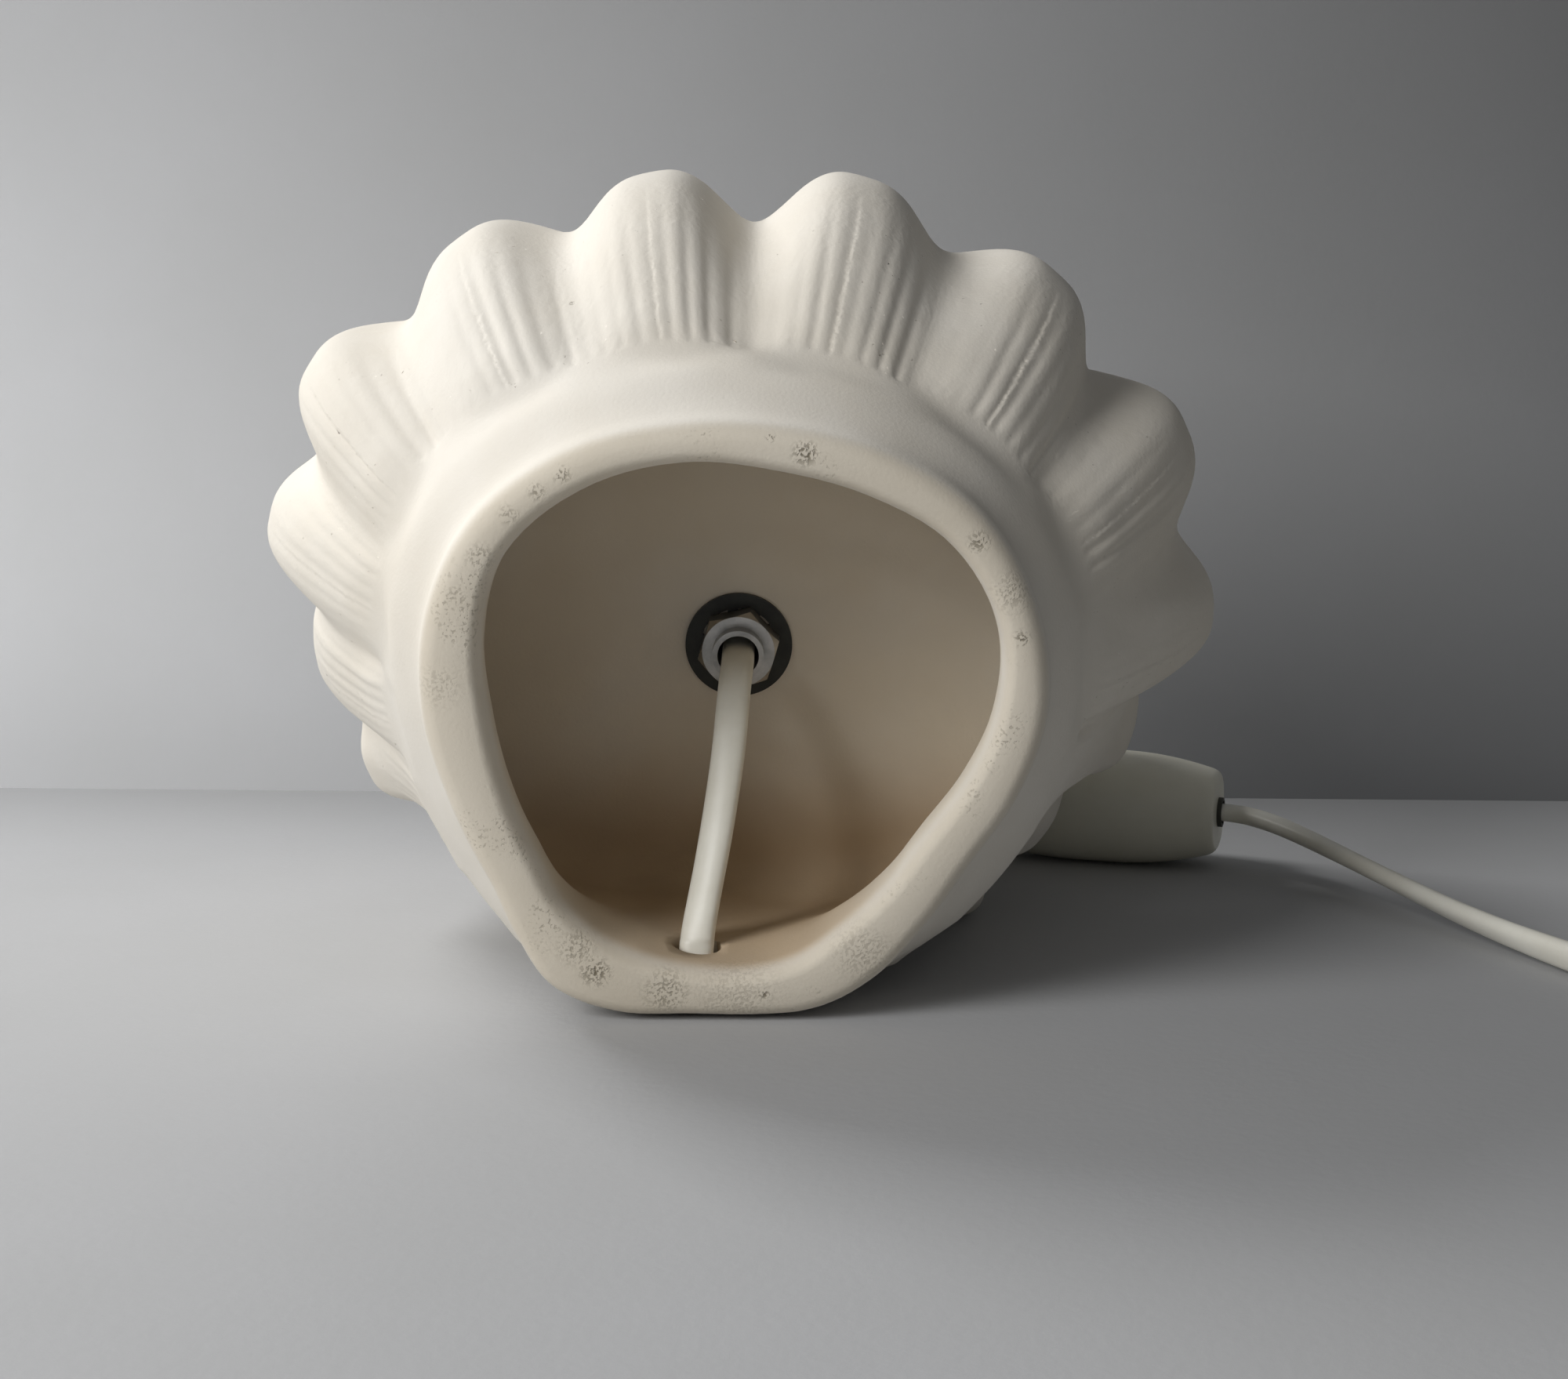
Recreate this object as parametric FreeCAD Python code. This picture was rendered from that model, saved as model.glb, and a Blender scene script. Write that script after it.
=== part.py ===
import FreeCAD, Part
import os
from math import atan2, cos, degrees, exp, log, pi, radians, sin, sqrt, tan

V = FreeCAD.Vector
os.makedirs("parts", exist_ok=True)

# A fluted shell lamp of slip-cast ceramic, lying on its back, its open foot towards -Y.
# Row frame in mm: +Z up from the table, +X to the right of someone who looks into the foot,
# +Y away from them. The lamp's own axis is Z in the lamp frame, from the foot's rim at 0.

# ---- how the lamp lies ----
LIE_ANGLE = 10.0            # degrees that the lamp's axis climbs away from the foot
AXIS_Y = -74.6              # where the axis meets the plane of the foot's rim
AXIS_Z = 49.24
BACK_CLEAR = 0.03           # the flat back stays this far above the table

# ---- ceramic shell, heights along the lamp's axis ----
COLLAR_TOP = 25.0           # the smooth collar ends and the ribs begin
BELLY = 75.0                # widest section
LIP = 148.0
SEPTUM_FOOT_SIDE = 63.0
CUP_FLOOR = 70.0
RIB_SAMPLES = 8             # points from one crest to the next
RIB_FULLNESS = 1.65         # over 1: broad crests and narrow valleys
CUP_WALL = 5.0
CHANNEL_CLEAR = 6.3         # free height under the back valley that the cord runs in
CORD_HOLE_HEIGHT = 13.0
CORD_HOLE_R = 4.6
CORD_HOLE_X = -7.0
NIPPLE_HOLE_R = 5.4

# rib crest: angle seen from the foot (0 = right, 90 = front of the lamp), crest radius at the
# belly, crest radius at the lip, radius of the valley before the next crest at the belly
RIBS = [
    (-86.0, 63.4, 74.9, 61.8),
    (-70.0, 68.3, 79.0, 67.0),
    (-53.0, 78.8, 71.0, 73.0),
    (-36.0, 77.0, 72.0, 75.0),
    (-17.5, 83.0, 76.0, 81.5),
    (2.5, 94.3, 80.0, 88.5),
    (25.5, 96.0, 80.0, 85.1),
    (49.0, 92.9, 78.0, 83.9),
    (75.0, 91.2, 76.0, 79.3),
    (100.5, 90.3, 76.0, 83.8),
    (124.0, 93.2, 78.0, 87.9),
    (147.0, 98.0, 82.0, 89.5),
    (165.0, 94.8, 82.0, 84.0),
    (183.5, 85.2, 79.0, 79.0),
    (202.5, 82.4, 77.0, 75.4),
    (219.5, 77.3, 75.0, 71.7),
    (236.0, 74.5, 76.0, 66.5),
    (252.0, 66.4, 78.5, 57.4),
]
LIP_RIB_DEPTH = 0.75        # of the belly's rib depth

# foot: angle, opening radius, rim radius, collar radius at COLLAR_TOP
FOOT = [
    (-86.0, 41.1, 50.2, 52.9),
    (-74.0, 40.2, 50.6, 55.2),
    (-62.0, 38.0, 49.3, 57.5),
    (-45.0, 36.5, 46.4, 58.5),
    (-27.0, 36.3, 45.7, 59.5),
    (-10.0, 39.7, 49.2, 61.5),
    (7.0, 44.6, 53.5, 64.0),
    (25.0, 49.2, 56.2, 66.0),
    (44.0, 50.7, 58.0, 65.6),
    (62.0, 49.1, 57.2, 64.4),
    (80.0, 48.3, 56.2, 63.4),
    (98.0, 49.6, 56.4, 64.6),
    (118.0, 50.7, 57.8, 66.6),
    (138.0, 50.2, 58.0, 68.8),
    (155.0, 45.8, 55.8, 67.2),
    (172.0, 41.2, 52.6, 63.2),
    (190.0, 39.0, 49.2, 60.5),
    (210.0, 39.0, 48.3, 59.5),
    (223.0, 40.8, 51.2, 60.0),
    (234.0, 41.7, 54.4, 60.5),
    (247.0, 41.6, 53.4, 57.5),
    (261.0, 41.2, 50.5, 54.0),
]

# hollow of the foot at the septum: angle, radius
FOOT_HOLLOW = [
    (-86.0, 51.0), (-74.0, 53.5), (-62.0, 56.5), (-45.0, 60.5), (-27.0, 66.0), (-10.0, 71.5),
    (7.0, 76.0), (25.0, 76.5), (44.0, 75.0), (62.0, 73.0), (80.0, 70.5), (98.0, 72.0),
    (118.0, 76.0), (138.0, 79.0), (155.0, 78.0), (172.0, 73.5), (190.0, 69.0), (210.0, 64.5),
    (223.0, 61.0), (234.0, 57.5), (247.0, 53.0), (261.0, 49.2),
]

# ---- hardware through the septum ----
TUBE_R = 5.0                # M10 x 1 threaded tube
TUBE_BORE_R = 4.0
TUBE_FROM = 55.0
TUBE_TO = 78.5
TOOTH_WASHER_R = 10.4
TOOTH_WASHER_INNER_R = 7.4
TOOTH_WASHER_THICK = 0.8
TEETH = 10
NUT_FLATS = 14.0
NUT_THICK = 4.5
NUT_TURN = 13.0

# ---- lampholder (E14) and bulb, heights above the cup floor ----
SEAT_R = 11.0
SEAT_THICK = 1.5
HOLDER_R = 13.5
HOLDER_BOSS_R = 8.5
CAP_HEIGHT = 15.0
BODY_HEIGHT = 22.0
SOCKET_R = 7.25
BULB_CAP_R = 6.9
BULB_R = 13.0
BULB_LENGTH = 58.0
BULB_TRAVEL = 22.0

# ---- cord and in-line switch ----
CORD_R = 2.55               # a round of the same section as the 6.2 x 3.8 flat twin cord
SWITCH_AT = (82.2, 66.1)
SWITCH_YAW = -19.0
SWITCH_LENGTH = 56.0
SWITCH_HEIGHT = 25.5
SWITCH_WIDTH = 27.0
SPLIT_Z = SWITCH_HEIGHT / 2
CORD_ENTRY_R = 3.4
CORD_END_LEFT = -18.5       # where the cords end inside the switch
CORD_END_RIGHT = 12.0
GROMMET_LENGTH = 4.0
ROCKER_X = -7.5
ROCKER_Z = 18.5
ROCKER_R = 10.6
ROCKER_WIDTH = 10.4
ROCKER_PIN_R = 1.5
ROCKER_REST = 8.0           # degrees: one end stands up at rest

# ---- coil of put-away cord and plug ----
COIL_ENTRY = (168.6, -61.4)
COIL_ANGLE = 205.5          # where on its circle the coil starts
COIL_TURNS = 3              # in each of two layers
COIL_END_TURN = 6.375
COIL_PITCH = 6.4
COIL_RISE = 6.6
COIL_OUTER = 39.5
COIL_Z = CORD_R + 1.0
TIE_ANGLE = 115.0
PLUG_Z = 7.0
PLUG_WIDTH = 34.0
PLUG_THICK = 13.7
PLUG_LENGTH = 34.0
PIN_R = 2.0
PIN_LENGTH = 19.0
PIN_SPACING = 18.6
PIN_TIP_SPACING = 17.5
SLEEVE_LENGTH = 28.0


def save(name, shape):
    """Writes one node and prints what is needed to judge it."""
    shape.exportStep("parts/" + name + ".step")
    print(f"{name}: valid {shape.isValid()}, solids {len(shape.Solids)}, {shape.Volume:.0f} mm3")


def lay(shape):
    """Turns a shape from the lamp's own frame into the way the lamp lies."""
    moved = shape.copy()
    turn = FreeCAD.Rotation(V(1, 0, 0), LIE_ANGLE - 90)
    moved.Placement = FreeCAD.Placement(V(0, AXIS_Y, AXIS_Z), turn).multiply(moved.Placement)
    return moved


# ---------------------------------------------------------------- ceramic shell


def table_value(rows, column, angle):
    """A smooth value around the axis, from rows whose first number is an angle."""
    count = len(rows)
    for k in range(count):
        start = rows[k][0]
        end = rows[(k + 1) % count][0] + (360.0 if k == count - 1 else 0.0)
        offset = (angle - start) % 360.0
        if offset <= end - start:
            t = offset / (end - start)
            before = rows[k - 1][column]
            here = rows[k][column]
            after = rows[(k + 1) % count][column]
            beyond = rows[(k + 2) % count][column]
            bend_here = (after - before) / 2
            bend_after = (beyond - here) / 2
            return (
                here * (1 + 2 * t) * (1 - t) ** 2
                + bend_here * t * (1 - t) ** 2
                + after * t * t * (3 - 2 * t)
                + bend_after * t * t * (t - 1)
            )
    raise ValueError(angle)


def floor_line(height):
    """How far below the axis the table lies at a height along the axis."""
    return (AXIS_Z + height * sin(radians(LIE_ANGLE))) / cos(radians(LIE_ANGLE))


def blend(t):
    """0 to 1 with level ends."""
    t = min(max(t, 0.0), 1.0)
    return t * t * (3 - 2 * t)


def soft_limit(value, limit, softness=0.8):
    """The smaller of two numbers, eased where they meet."""
    gap = (limit - value) / softness
    if gap > 30:
        return value
    return value - softness * log(1 + exp(-gap)) if gap > -30 else limit


def rib_samples():
    """For each point of a ring: angle, crest at belly, crest at lip, rib depth, valley weight,
    and whether it lies in the back valley that holds the cord."""
    samples = []
    for k, (angle, belly, lip, valley) in enumerate(RIBS):
        next_angle, next_belly, next_lip, _ = RIBS[(k + 1) % len(RIBS)]
        span = (next_angle - angle) % 360.0
        for step in range(RIB_SAMPLES):
            t = step / RIB_SAMPLES
            first_half = t <= 0.5
            crest = belly if first_half else next_belly
            weight = ((1 - cos(2 * pi * t)) / 2) ** RIB_FULLNESS
            lip_crest = lip + (next_lip - lip) * blend(t)
            in_back_valley = k == len(RIBS) - 1
            samples.append((angle + span * t, crest, lip_crest, crest - valley, weight, in_back_valley))
    return samples


SAMPLES = rib_samples()


def outer_radius(sample, height, ribs=1.0):
    """Outer skin: foot, collar, fluted belly, and back in towards the lip."""
    angle, crest, lip_crest, depth, weight, in_back_valley = sample
    rim = table_value(FOOT, 2, angle)
    collar = table_value(FOOT, 3, angle)
    if height <= COLLAR_TOP:
        radius = rim + (collar - rim) * blend((height - 4.0) / (COLLAR_TOP - 1.0)) ** 0.8
    elif height <= BELLY:
        t = (height - COLLAR_TOP) / (BELLY - COLLAR_TOP)
        slow = blend((0.15 - sin(radians(angle))) / 0.7)
        delay = 1.5 + 0.7 * blend((-sin(radians(angle)) - 0.75) / 0.2)
        swell = sin(t * pi / 2) ** 0.9 * (1 - slow) + t ** delay * slow
        relief = min(1.0, 0.25 + 1.1 * t) * min(1.0, t / 0.08)
        radius = collar + (crest - collar) * swell - depth * relief * weight * ribs
    else:
        t = (height - BELLY) / (LIP - BELLY)
        lip_depth = depth * LIP_RIB_DEPTH
        top = crest + (lip_crest - crest) * t ** 1.35
        radius = top - (depth + (lip_depth - depth) * t) * weight * ribs
    below = -sin(radians(angle))
    if in_back_valley and height > 7.0:
        channel = floor_line(height) - CHANNEL_CLEAR
        radius += (channel - radius) * weight ** 0.6 * blend((height - 7.0) / 5.0)
    if below > 0.2:
        radius = soft_limit(radius, (floor_line(height) - BACK_CLEAR) / below)
    return radius


def ring(height, radius_of):
    """A closed smooth wire around the axis."""
    points = []
    for sample in SAMPLES:
        angle = radians(sample[0])
        radius = radius_of(sample)
        points.append(V(radius * cos(angle), -radius * sin(angle), height))
    steps = [k / len(points) for k in range(len(points) + 1)]
    curve = Part.BSplineCurve()
    curve.interpolate(Points=points, PeriodicFlag=True, Parameters=steps)
    return Part.Wire([curve.toShape()])


def skin(rings):
    return Part.makeLoft(rings, True, False)


def outer_skin():
    """The outside, its rim and lip rounded over a few close rings."""
    rim_inset = [(0.0, 3.4), (0.8, 1.6), (2.6, 0.4), (6.0, 0.0)]
    lip_inset = [(LIP - 1.6, 0.4), (LIP, 1.9)]
    rings = [ring(h, lambda s, h=h, d=d: outer_radius(s, 6.0) - d) for h, d in rim_inset]
    for h in (12.0, 18.0, 25.0, 29.0, 35.0, 43.0, 53.0, 64.0, 75.0, 88.0, 104.0, 122.0, 138.0):
        rings.append(ring(h, lambda s, h=h: outer_radius(s, h)))
    for h, d in lip_inset:
        rings.append(ring(h, lambda s, h=h, d=d: outer_radius(s, h) - d))
    return skin(rings)


def foot_cavity():
    """The smooth hollow of the foot, up to the septum."""
    def radius(sample, height):
        opening = table_value(FOOT, 1, sample[0])
        inside = table_value(FOOT_HOLLOW, 1, sample[0])
        return opening + (inside - opening) * blend((height - 6.0) / 55.0)

    top = SEPTUM_FOOT_SIDE
    rings = [ring(h, lambda s, d=d: table_value(FOOT, 1, s[0]) + d) for h, d in ((0.0, 2.4), (0.9, 0.9), (3.0, 0.0))]
    for h in (8.0, 15.0, 24.0, 36.0, 48.0):
        rings.append(ring(h, lambda s, h=h: radius(s, h)))
    for h, inset in ((top - 7.0, 0.6), (top - 3.0, 2.4), (top - 0.8, 5.6), (top, 9.5)):
        rings.append(ring(h, lambda s, d=inset: radius(s, top) - d))
    return skin(rings)


def valley_line(height):
    """The outside's valleys at one height, as rows of angle and radius."""
    return [(s[0], outer_radius(s, height)) for s in SAMPLES if s[4] == 1.0]


def cup_inside():
    """The inside of the shell cup, fluted like the outside and calmer along the back."""
    def ring_at(height, inset):
        line = valley_line(height)

        def radius(sample):
            valley = table_value(line, 1, sample[0])
            calm = blend((-sin(radians(sample[0])) - 0.3) / 0.5)
            share = 0.85 - 0.6 * calm
            return valley + (outer_radius(sample, height) - valley) * share - inset

        return ring(height, radius)

    levels = [
        (CUP_FLOOR, CUP_WALL + 12.0), (CUP_FLOOR + 2.0, CUP_WALL + 5.0), (79.0, CUP_WALL),
        (90.0, CUP_WALL), (104.0, CUP_WALL), (122.0, CUP_WALL), (138.0, CUP_WALL),
        (LIP - 1.6, CUP_WALL - 0.3), (LIP, CUP_WALL - 1.3),
    ]
    return skin([ring_at(h, inset) for h, inset in levels])


def ceramic_shell():
    body = outer_skin().cut(foot_cavity()).cut(cup_inside())
    body = body.cut(Part.makeCylinder(NIPPLE_HOLE_R, 20, V(0, 0, 58)))
    hole = Part.makeCylinder(CORD_HOLE_R, 22, V(CORD_HOLE_X, 36, CORD_HOLE_HEIGHT), V(0, 1, 0))
    return body.cut(hole)


# ---------------------------------------------------------------- hardware


def hexagon(flats, height, turn):
    """A hexagon prism from 0 up, with its first corner at an angle."""
    corner = flats / sqrt(3)
    points = []
    for k in range(7):
        angle = radians(turn + 60 * (k % 6))
        points.append(V(corner * cos(angle), -corner * sin(angle), 0))
    return Part.Face(Part.makePolygon(points)).extrude(V(0, 0, height))


def threaded_tube():
    tube = Part.makeCylinder(TUBE_R, TUBE_TO - TUBE_FROM, V(0, 0, TUBE_FROM))
    return tube.cut(Part.makeCylinder(TUBE_BORE_R, 40, V(0, 0, TUBE_FROM - 1)))


def tooth_washer():
    """Flat ring with teeth on its inside that bite the nut."""
    low = SEPTUM_FOOT_SIDE - TOOTH_WASHER_THICK
    washer = Part.makeCylinder(TOOTH_WASHER_R, TOOTH_WASHER_THICK, V(0, 0, low))
    washer = washer.cut(Part.makeCylinder(TOOTH_WASHER_INNER_R, 2, V(0, 0, low - 0.5)))
    tooth_length = TOOTH_WASHER_INNER_R - TUBE_R + 0.3
    for k in range(TEETH):
        tooth = Part.makeBox(tooth_length, 2.0, TOOTH_WASHER_THICK, V(TUBE_R + 0.2, -1.0, low))
        tooth.rotate(V(0, 0, 0), V(0, 0, 1), 360 / TEETH * k + 9)
        washer = washer.fuse(tooth)
    return washer.removeSplitter()


def hex_nut():
    low = SEPTUM_FOOT_SIDE - TOOTH_WASHER_THICK - NUT_THICK
    nut = hexagon(NUT_FLATS, NUT_THICK, NUT_TURN)
    nut.translate(V(0, 0, low))
    chamfer = Part.makeCone(NUT_FLATS / 2, NUT_FLATS / 2 + 4.5, NUT_THICK, V(0, 0, low))
    nut = nut.common(chamfer)
    return nut.cut(Part.makeCylinder(TUBE_R, 10, V(0, 0, low - 1)))


def revolved(points):
    """A solid of revolution about the lamp's axis from (radius, height) corners."""
    corners = [V(r, 0, h) for r, h in points]
    return Part.Face(Part.makePolygon(corners + corners[:1])).revolve(V(0, 0, 0), V(0, 0, 1), 360)


HOLDER_FROM = CUP_FLOOR + SEAT_THICK
CAP_TOP = HOLDER_FROM + CAP_HEIGHT
BODY_TOP = CAP_TOP + BODY_HEIGHT
BULB_TIP = HOLDER_FROM + 19.0


def seat_washer():
    washer = Part.makeCylinder(SEAT_R, SEAT_THICK, V(0, 0, CUP_FLOOR))
    return washer.cut(Part.makeCylinder(TUBE_R + 0.2, 4, V(0, 0, CUP_FLOOR - 1)))


def holder_cap():
    """Cap of the lampholder, screwed on the threaded tube."""
    low = HOLDER_FROM
    return revolved([
        (TUBE_R, low), (HOLDER_BOSS_R, low), (HOLDER_BOSS_R, low + 4), (HOLDER_R, low + 9),
        (HOLDER_R, CAP_TOP), (HOLDER_R - 2, CAP_TOP), (HOLDER_R - 2, low + 10),
        (HOLDER_BOSS_R - 1, low + 7), (TUBE_R, low + 7),
    ])


def holder_body():
    """Sleeve of the lampholder, with a spigot inside the cap and a turned-in top."""
    return revolved([
        (HOLDER_R - 4, CAP_TOP - 4), (HOLDER_R - 2.2, CAP_TOP - 4), (HOLDER_R - 2.2, CAP_TOP),
        (HOLDER_R, CAP_TOP), (HOLDER_R, CAP_TOP + 3), (HOLDER_R - 0.8, CAP_TOP + 3.8),
        (HOLDER_R - 0.8, BODY_TOP - 1), (HOLDER_R - 1.8, BODY_TOP), (8.9, BODY_TOP),
        (8.9, BODY_TOP - 2), (HOLDER_R - 3, BODY_TOP - 2.6), (HOLDER_R - 3, CAP_TOP - 1),
    ])


def holder_insert():
    """Insulating disc that carries the contacts and the screw shell."""
    low = CAP_TOP - 5.0
    disc = Part.makeCylinder(HOLDER_R - 4.0, 4.0, V(0, 0, low))
    disc = disc.fuse(Part.makeCylinder(HOLDER_R - 3.0, 1.5, V(0, 0, low + 4.0))).removeSplitter()
    disc = disc.cut(Part.makeCylinder(1.5, 8, V(0, 6, low - 1)))
    return disc.cut(Part.makeCylinder(1.5, 8, V(0, -6, low - 1)))


def terminal_screws():
    low = CAP_TOP - 7.0
    screws = []
    for side in (-6, 6):
        head = Part.makeCylinder(2.3, 2.0, V(0, side, low))
        shank = Part.makeCylinder(1.5, 5.0, V(0, side, low + 2.0))
        slot = Part.makeBox(5, 0.6, 0.8, V(-2.5, side - 0.3, low))
        screws.append(head.fuse(shank).cut(slot))
    return Part.makeCompound(screws)


def screw_shell():
    """Brass sleeve that takes the bulb's cap."""
    low = CAP_TOP + 0.5
    sleeve = Part.makeCylinder(SOCKET_R + 0.6, 17.0, V(0, 0, low))
    sleeve = sleeve.cut(Part.makeCylinder(SOCKET_R, 20, V(0, 0, low + 0.6)))
    return sleeve.cut(Part.makeCylinder(5.4, 3, V(0, 0, low - 1)))


def centre_contact():
    """Sprung tongue under the bulb's tip, drawn pressed down."""
    low = CAP_TOP + 0.5
    foot = Part.makeBox(3.0, 5.4, 0.5, V(-1.5, -4.5, low))
    tongue = Part.makeBox(3.0, 0.5, BULB_TIP - low - 0.35, V(-1.5, -0.9, low))
    tip = Part.makeBox(3.0, 3.2, 0.5, V(-1.5, -1.6, BULB_TIP - 0.85))
    return foot.fuse(tongue).fuse(tip).removeSplitter()


def bulb_pieces():
    """Small clear bulb: centre contact, glass insulator, screw cap and glass."""
    tip = Part.makeCylinder(2.4, 1.2, V(0, 0, BULB_TIP))
    low = BULB_TIP + 1.2
    insulator = Part.makeCone(2.4, 5.6, 2.6, V(0, 0, low))
    cap_low = low + 2.6
    cap = Part.makeCylinder(BULB_CAP_R, 15.0, V(0, 0, cap_low))
    glass_low = cap_low + 15.0
    top = BULB_TIP + BULB_LENGTH
    line = [
        (V(0, 0, glass_low), V(6.2, 0, glass_low)),
        (V(6.2, 0, glass_low), V(6.2, 0, glass_low + 2)),
    ]
    edges = [Part.LineSegment(a, b).toShape() for a, b in line]
    shoulder = glass_low + 11.0
    flare = Part.Arc(V(6.2, 0, glass_low + 2), V(10.2, 0, glass_low + 5.5), V(BULB_R, 0, shoulder))
    dome = Part.Arc(V(BULB_R, 0, top - BULB_R), V(BULB_R * cos(pi / 4), 0, top - BULB_R * (1 - sin(pi / 4))), V(0, 0, top))
    edges.append(flare.toShape())
    edges.append(Part.LineSegment(V(BULB_R, 0, shoulder), V(BULB_R, 0, top - BULB_R)).toShape())
    edges.append(dome.toShape())
    edges.append(Part.LineSegment(V(0, 0, top), V(0, 0, glass_low)).toShape())
    glass = Part.Face(Part.Wire(edges)).revolve(V(0, 0, 0), V(0, 0, 1), 360)
    return tip, insulator, cap, glass


# ---------------------------------------------------------------- cords


def lamp_point(x, up, height):
    """Row position of a point in the lamp: right of the axis, towards the front, along it."""
    tilt = radians(LIE_ANGLE)
    return V(x, AXIS_Y + height * cos(tilt) - up * sin(tilt), AXIS_Z + height * sin(tilt) + up * cos(tilt))


def cord_path(name, points):
    """Straight runs joined by arcs as large as the runs allow."""
    points = [V(*p) for p in points]
    edges = []
    start = points[0]
    radii = []
    for k in range(1, len(points) - 1):
        into = points[k] - points[k - 1]
        out = points[k + 1] - points[k]
        turn = into.getAngle(out)
        reach = 0.45 * min(into.Length, out.Length)
        radius = reach / tan(turn / 2)
        radii.append(radius)
        into.normalize()
        out.normalize()
        first = points[k] - into * reach
        last = points[k] + out * reach
        inward = (out - into).normalize()
        centre_distance = sqrt(radius * radius + reach * reach)
        middle = points[k] + inward * (centre_distance - radius)
        edges.append(Part.LineSegment(start, first).toShape())
        edges.append(Part.Arc(first, middle, last).toShape())
        start = last
    edges.append(Part.LineSegment(start, points[-1]).toShape())
    wire = Part.Wire(edges)
    print(f"{name}: {wire.Length:.1f} mm long, radii " + " ".join(f"{r:.1f}" for r in radii))
    return wire


def tube(name, wire, start, direction):
    """A round tube along a wire, its volume set against section times length."""
    profile = Part.Wire([Part.Circle(start, direction, CORD_R).toShape()])
    solid = wire.makePipeShell([profile], True, False)
    expected = pi * CORD_R ** 2 * wire.Length
    print(f"{name}: tube volume {solid.Volume / expected:.4f} of section times length")
    return solid


def cord(name, points):
    start = V(*points[0])
    return tube(name, cord_path(name, points), start, V(*points[1]) - start)


def switch_point(x, y, z):
    """Row position of a point given along, across and above the switch."""
    yaw = radians(SWITCH_YAW)
    return (SWITCH_AT[0] + x * cos(yaw) - y * sin(yaw), SWITCH_AT[1] + x * sin(yaw) + y * cos(yaw), z)


NUT_MOUTH = tuple(lamp_point(0, 0, TUBE_FROM))

# from the threaded tube down to the hole behind the rim, along the valley under the back,
# out behind the lip and round to the switch
LAMP_CORD = [
    NUT_MOUTH,
    tuple(lamp_point(0, 0, TUBE_FROM - 6.0)),
    (-0.4, -31.6, 54.9),
    (-0.8, -36.1, 50.2),
    (-1.4, -40.3, 43.4),
    (-2.6, -44.0, 35.2),
    (-4.0, -47.5, 26.9),
    (-5.5, -50.4, 19.3),
    (-6.6, -52.8, 13.6),
    (-7.0, -54.3, 9.5),
    (-7.0, -54.2, 6.5),
    (-7.0, -52.6, 4.0),
    (-7.0, -50.0, 2.6),
    (-7.1, -44.5, 2.6),
    (-7.5, -34.0, 2.6),
    (-7.8, -14.0, 2.6),
    (-8.4, 14.0, 2.6),
    (-8.2, 40.0, 2.6),
    (-8.6, 60.0, 2.6),
    (-8.4, 74.0, 2.6),
    (-8.4, 83.4, 2.6),
    (-5.3, 90.4, 2.6),
    (0.5, 95.5, 2.6),
    (7.8, 97.8, 2.6),
    (15.4, 96.8, 2.7),
    (24.1, 91.8, 3.4),
    (34.8, 85.5, 7.6),
    switch_point(-38.0, -0.12, SPLIT_Z),
    switch_point(-SWITCH_LENGTH / 2 - 0.5, 0, SPLIT_Z),
    switch_point(CORD_END_LEFT, 0, SPLIT_Z),
]

COIL_HEAD = V(-sin(radians(COIL_ANGLE)), cos(radians(COIL_ANGLE)), 0)
COIL_AT = (
    COIL_ENTRY[0] - COIL_OUTER * cos(radians(COIL_ANGLE)),
    COIL_ENTRY[1] - COIL_OUTER * sin(radians(COIL_ANGLE)),
)


def before_coil(distance, z=COIL_Z):
    """A point on the straight lead that runs into the coil."""
    return (COIL_ENTRY[0] - COIL_HEAD.x * distance, COIL_ENTRY[1] - COIL_HEAD.y * distance, z)


COIL_START = before_coil(6.0)

# from the switch, slowly down to the table and out to the coil
MAINS_CORD = [
    switch_point(CORD_END_RIGHT, 0, SPLIT_Z),
    switch_point(SWITCH_LENGTH / 2 - 6.5, 0, SPLIT_Z),
    switch_point(SWITCH_LENGTH / 2 + 4.4, 0.12, SPLIT_Z),
    (119.2, 48.2, 12.0),
    (124.9, 38.3, 10.5),
    (131.6, 24.2, 8.5),
    (138.6, 7.6, 6.5),
    (144.7, -8.0, 5.0),
    (151.6, -25.4, 3.9),
    before_coil(18.0),
    COIL_START,
]


def coil_point(turn):
    """Two layers: in by COIL_TURNS turns, half a turn up, and out again."""
    if turn <= COIL_TURNS:
        radius = COIL_OUTER - COIL_PITCH * turn
        height = COIL_Z
    elif turn <= COIL_TURNS + 0.5:
        t = (turn - COIL_TURNS) / 0.5
        radius = COIL_OUTER - COIL_PITCH * COIL_TURNS
        height = COIL_Z + COIL_RISE * blend(t)
    else:
        radius = COIL_OUTER - COIL_PITCH * (2 * COIL_TURNS + 0.5 - turn)
        height = COIL_Z + COIL_RISE
    angle = radians(COIL_ANGLE) + 2 * pi * turn
    return V(COIL_AT[0] + radius * cos(angle), COIL_AT[1] + radius * sin(angle), height)


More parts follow.
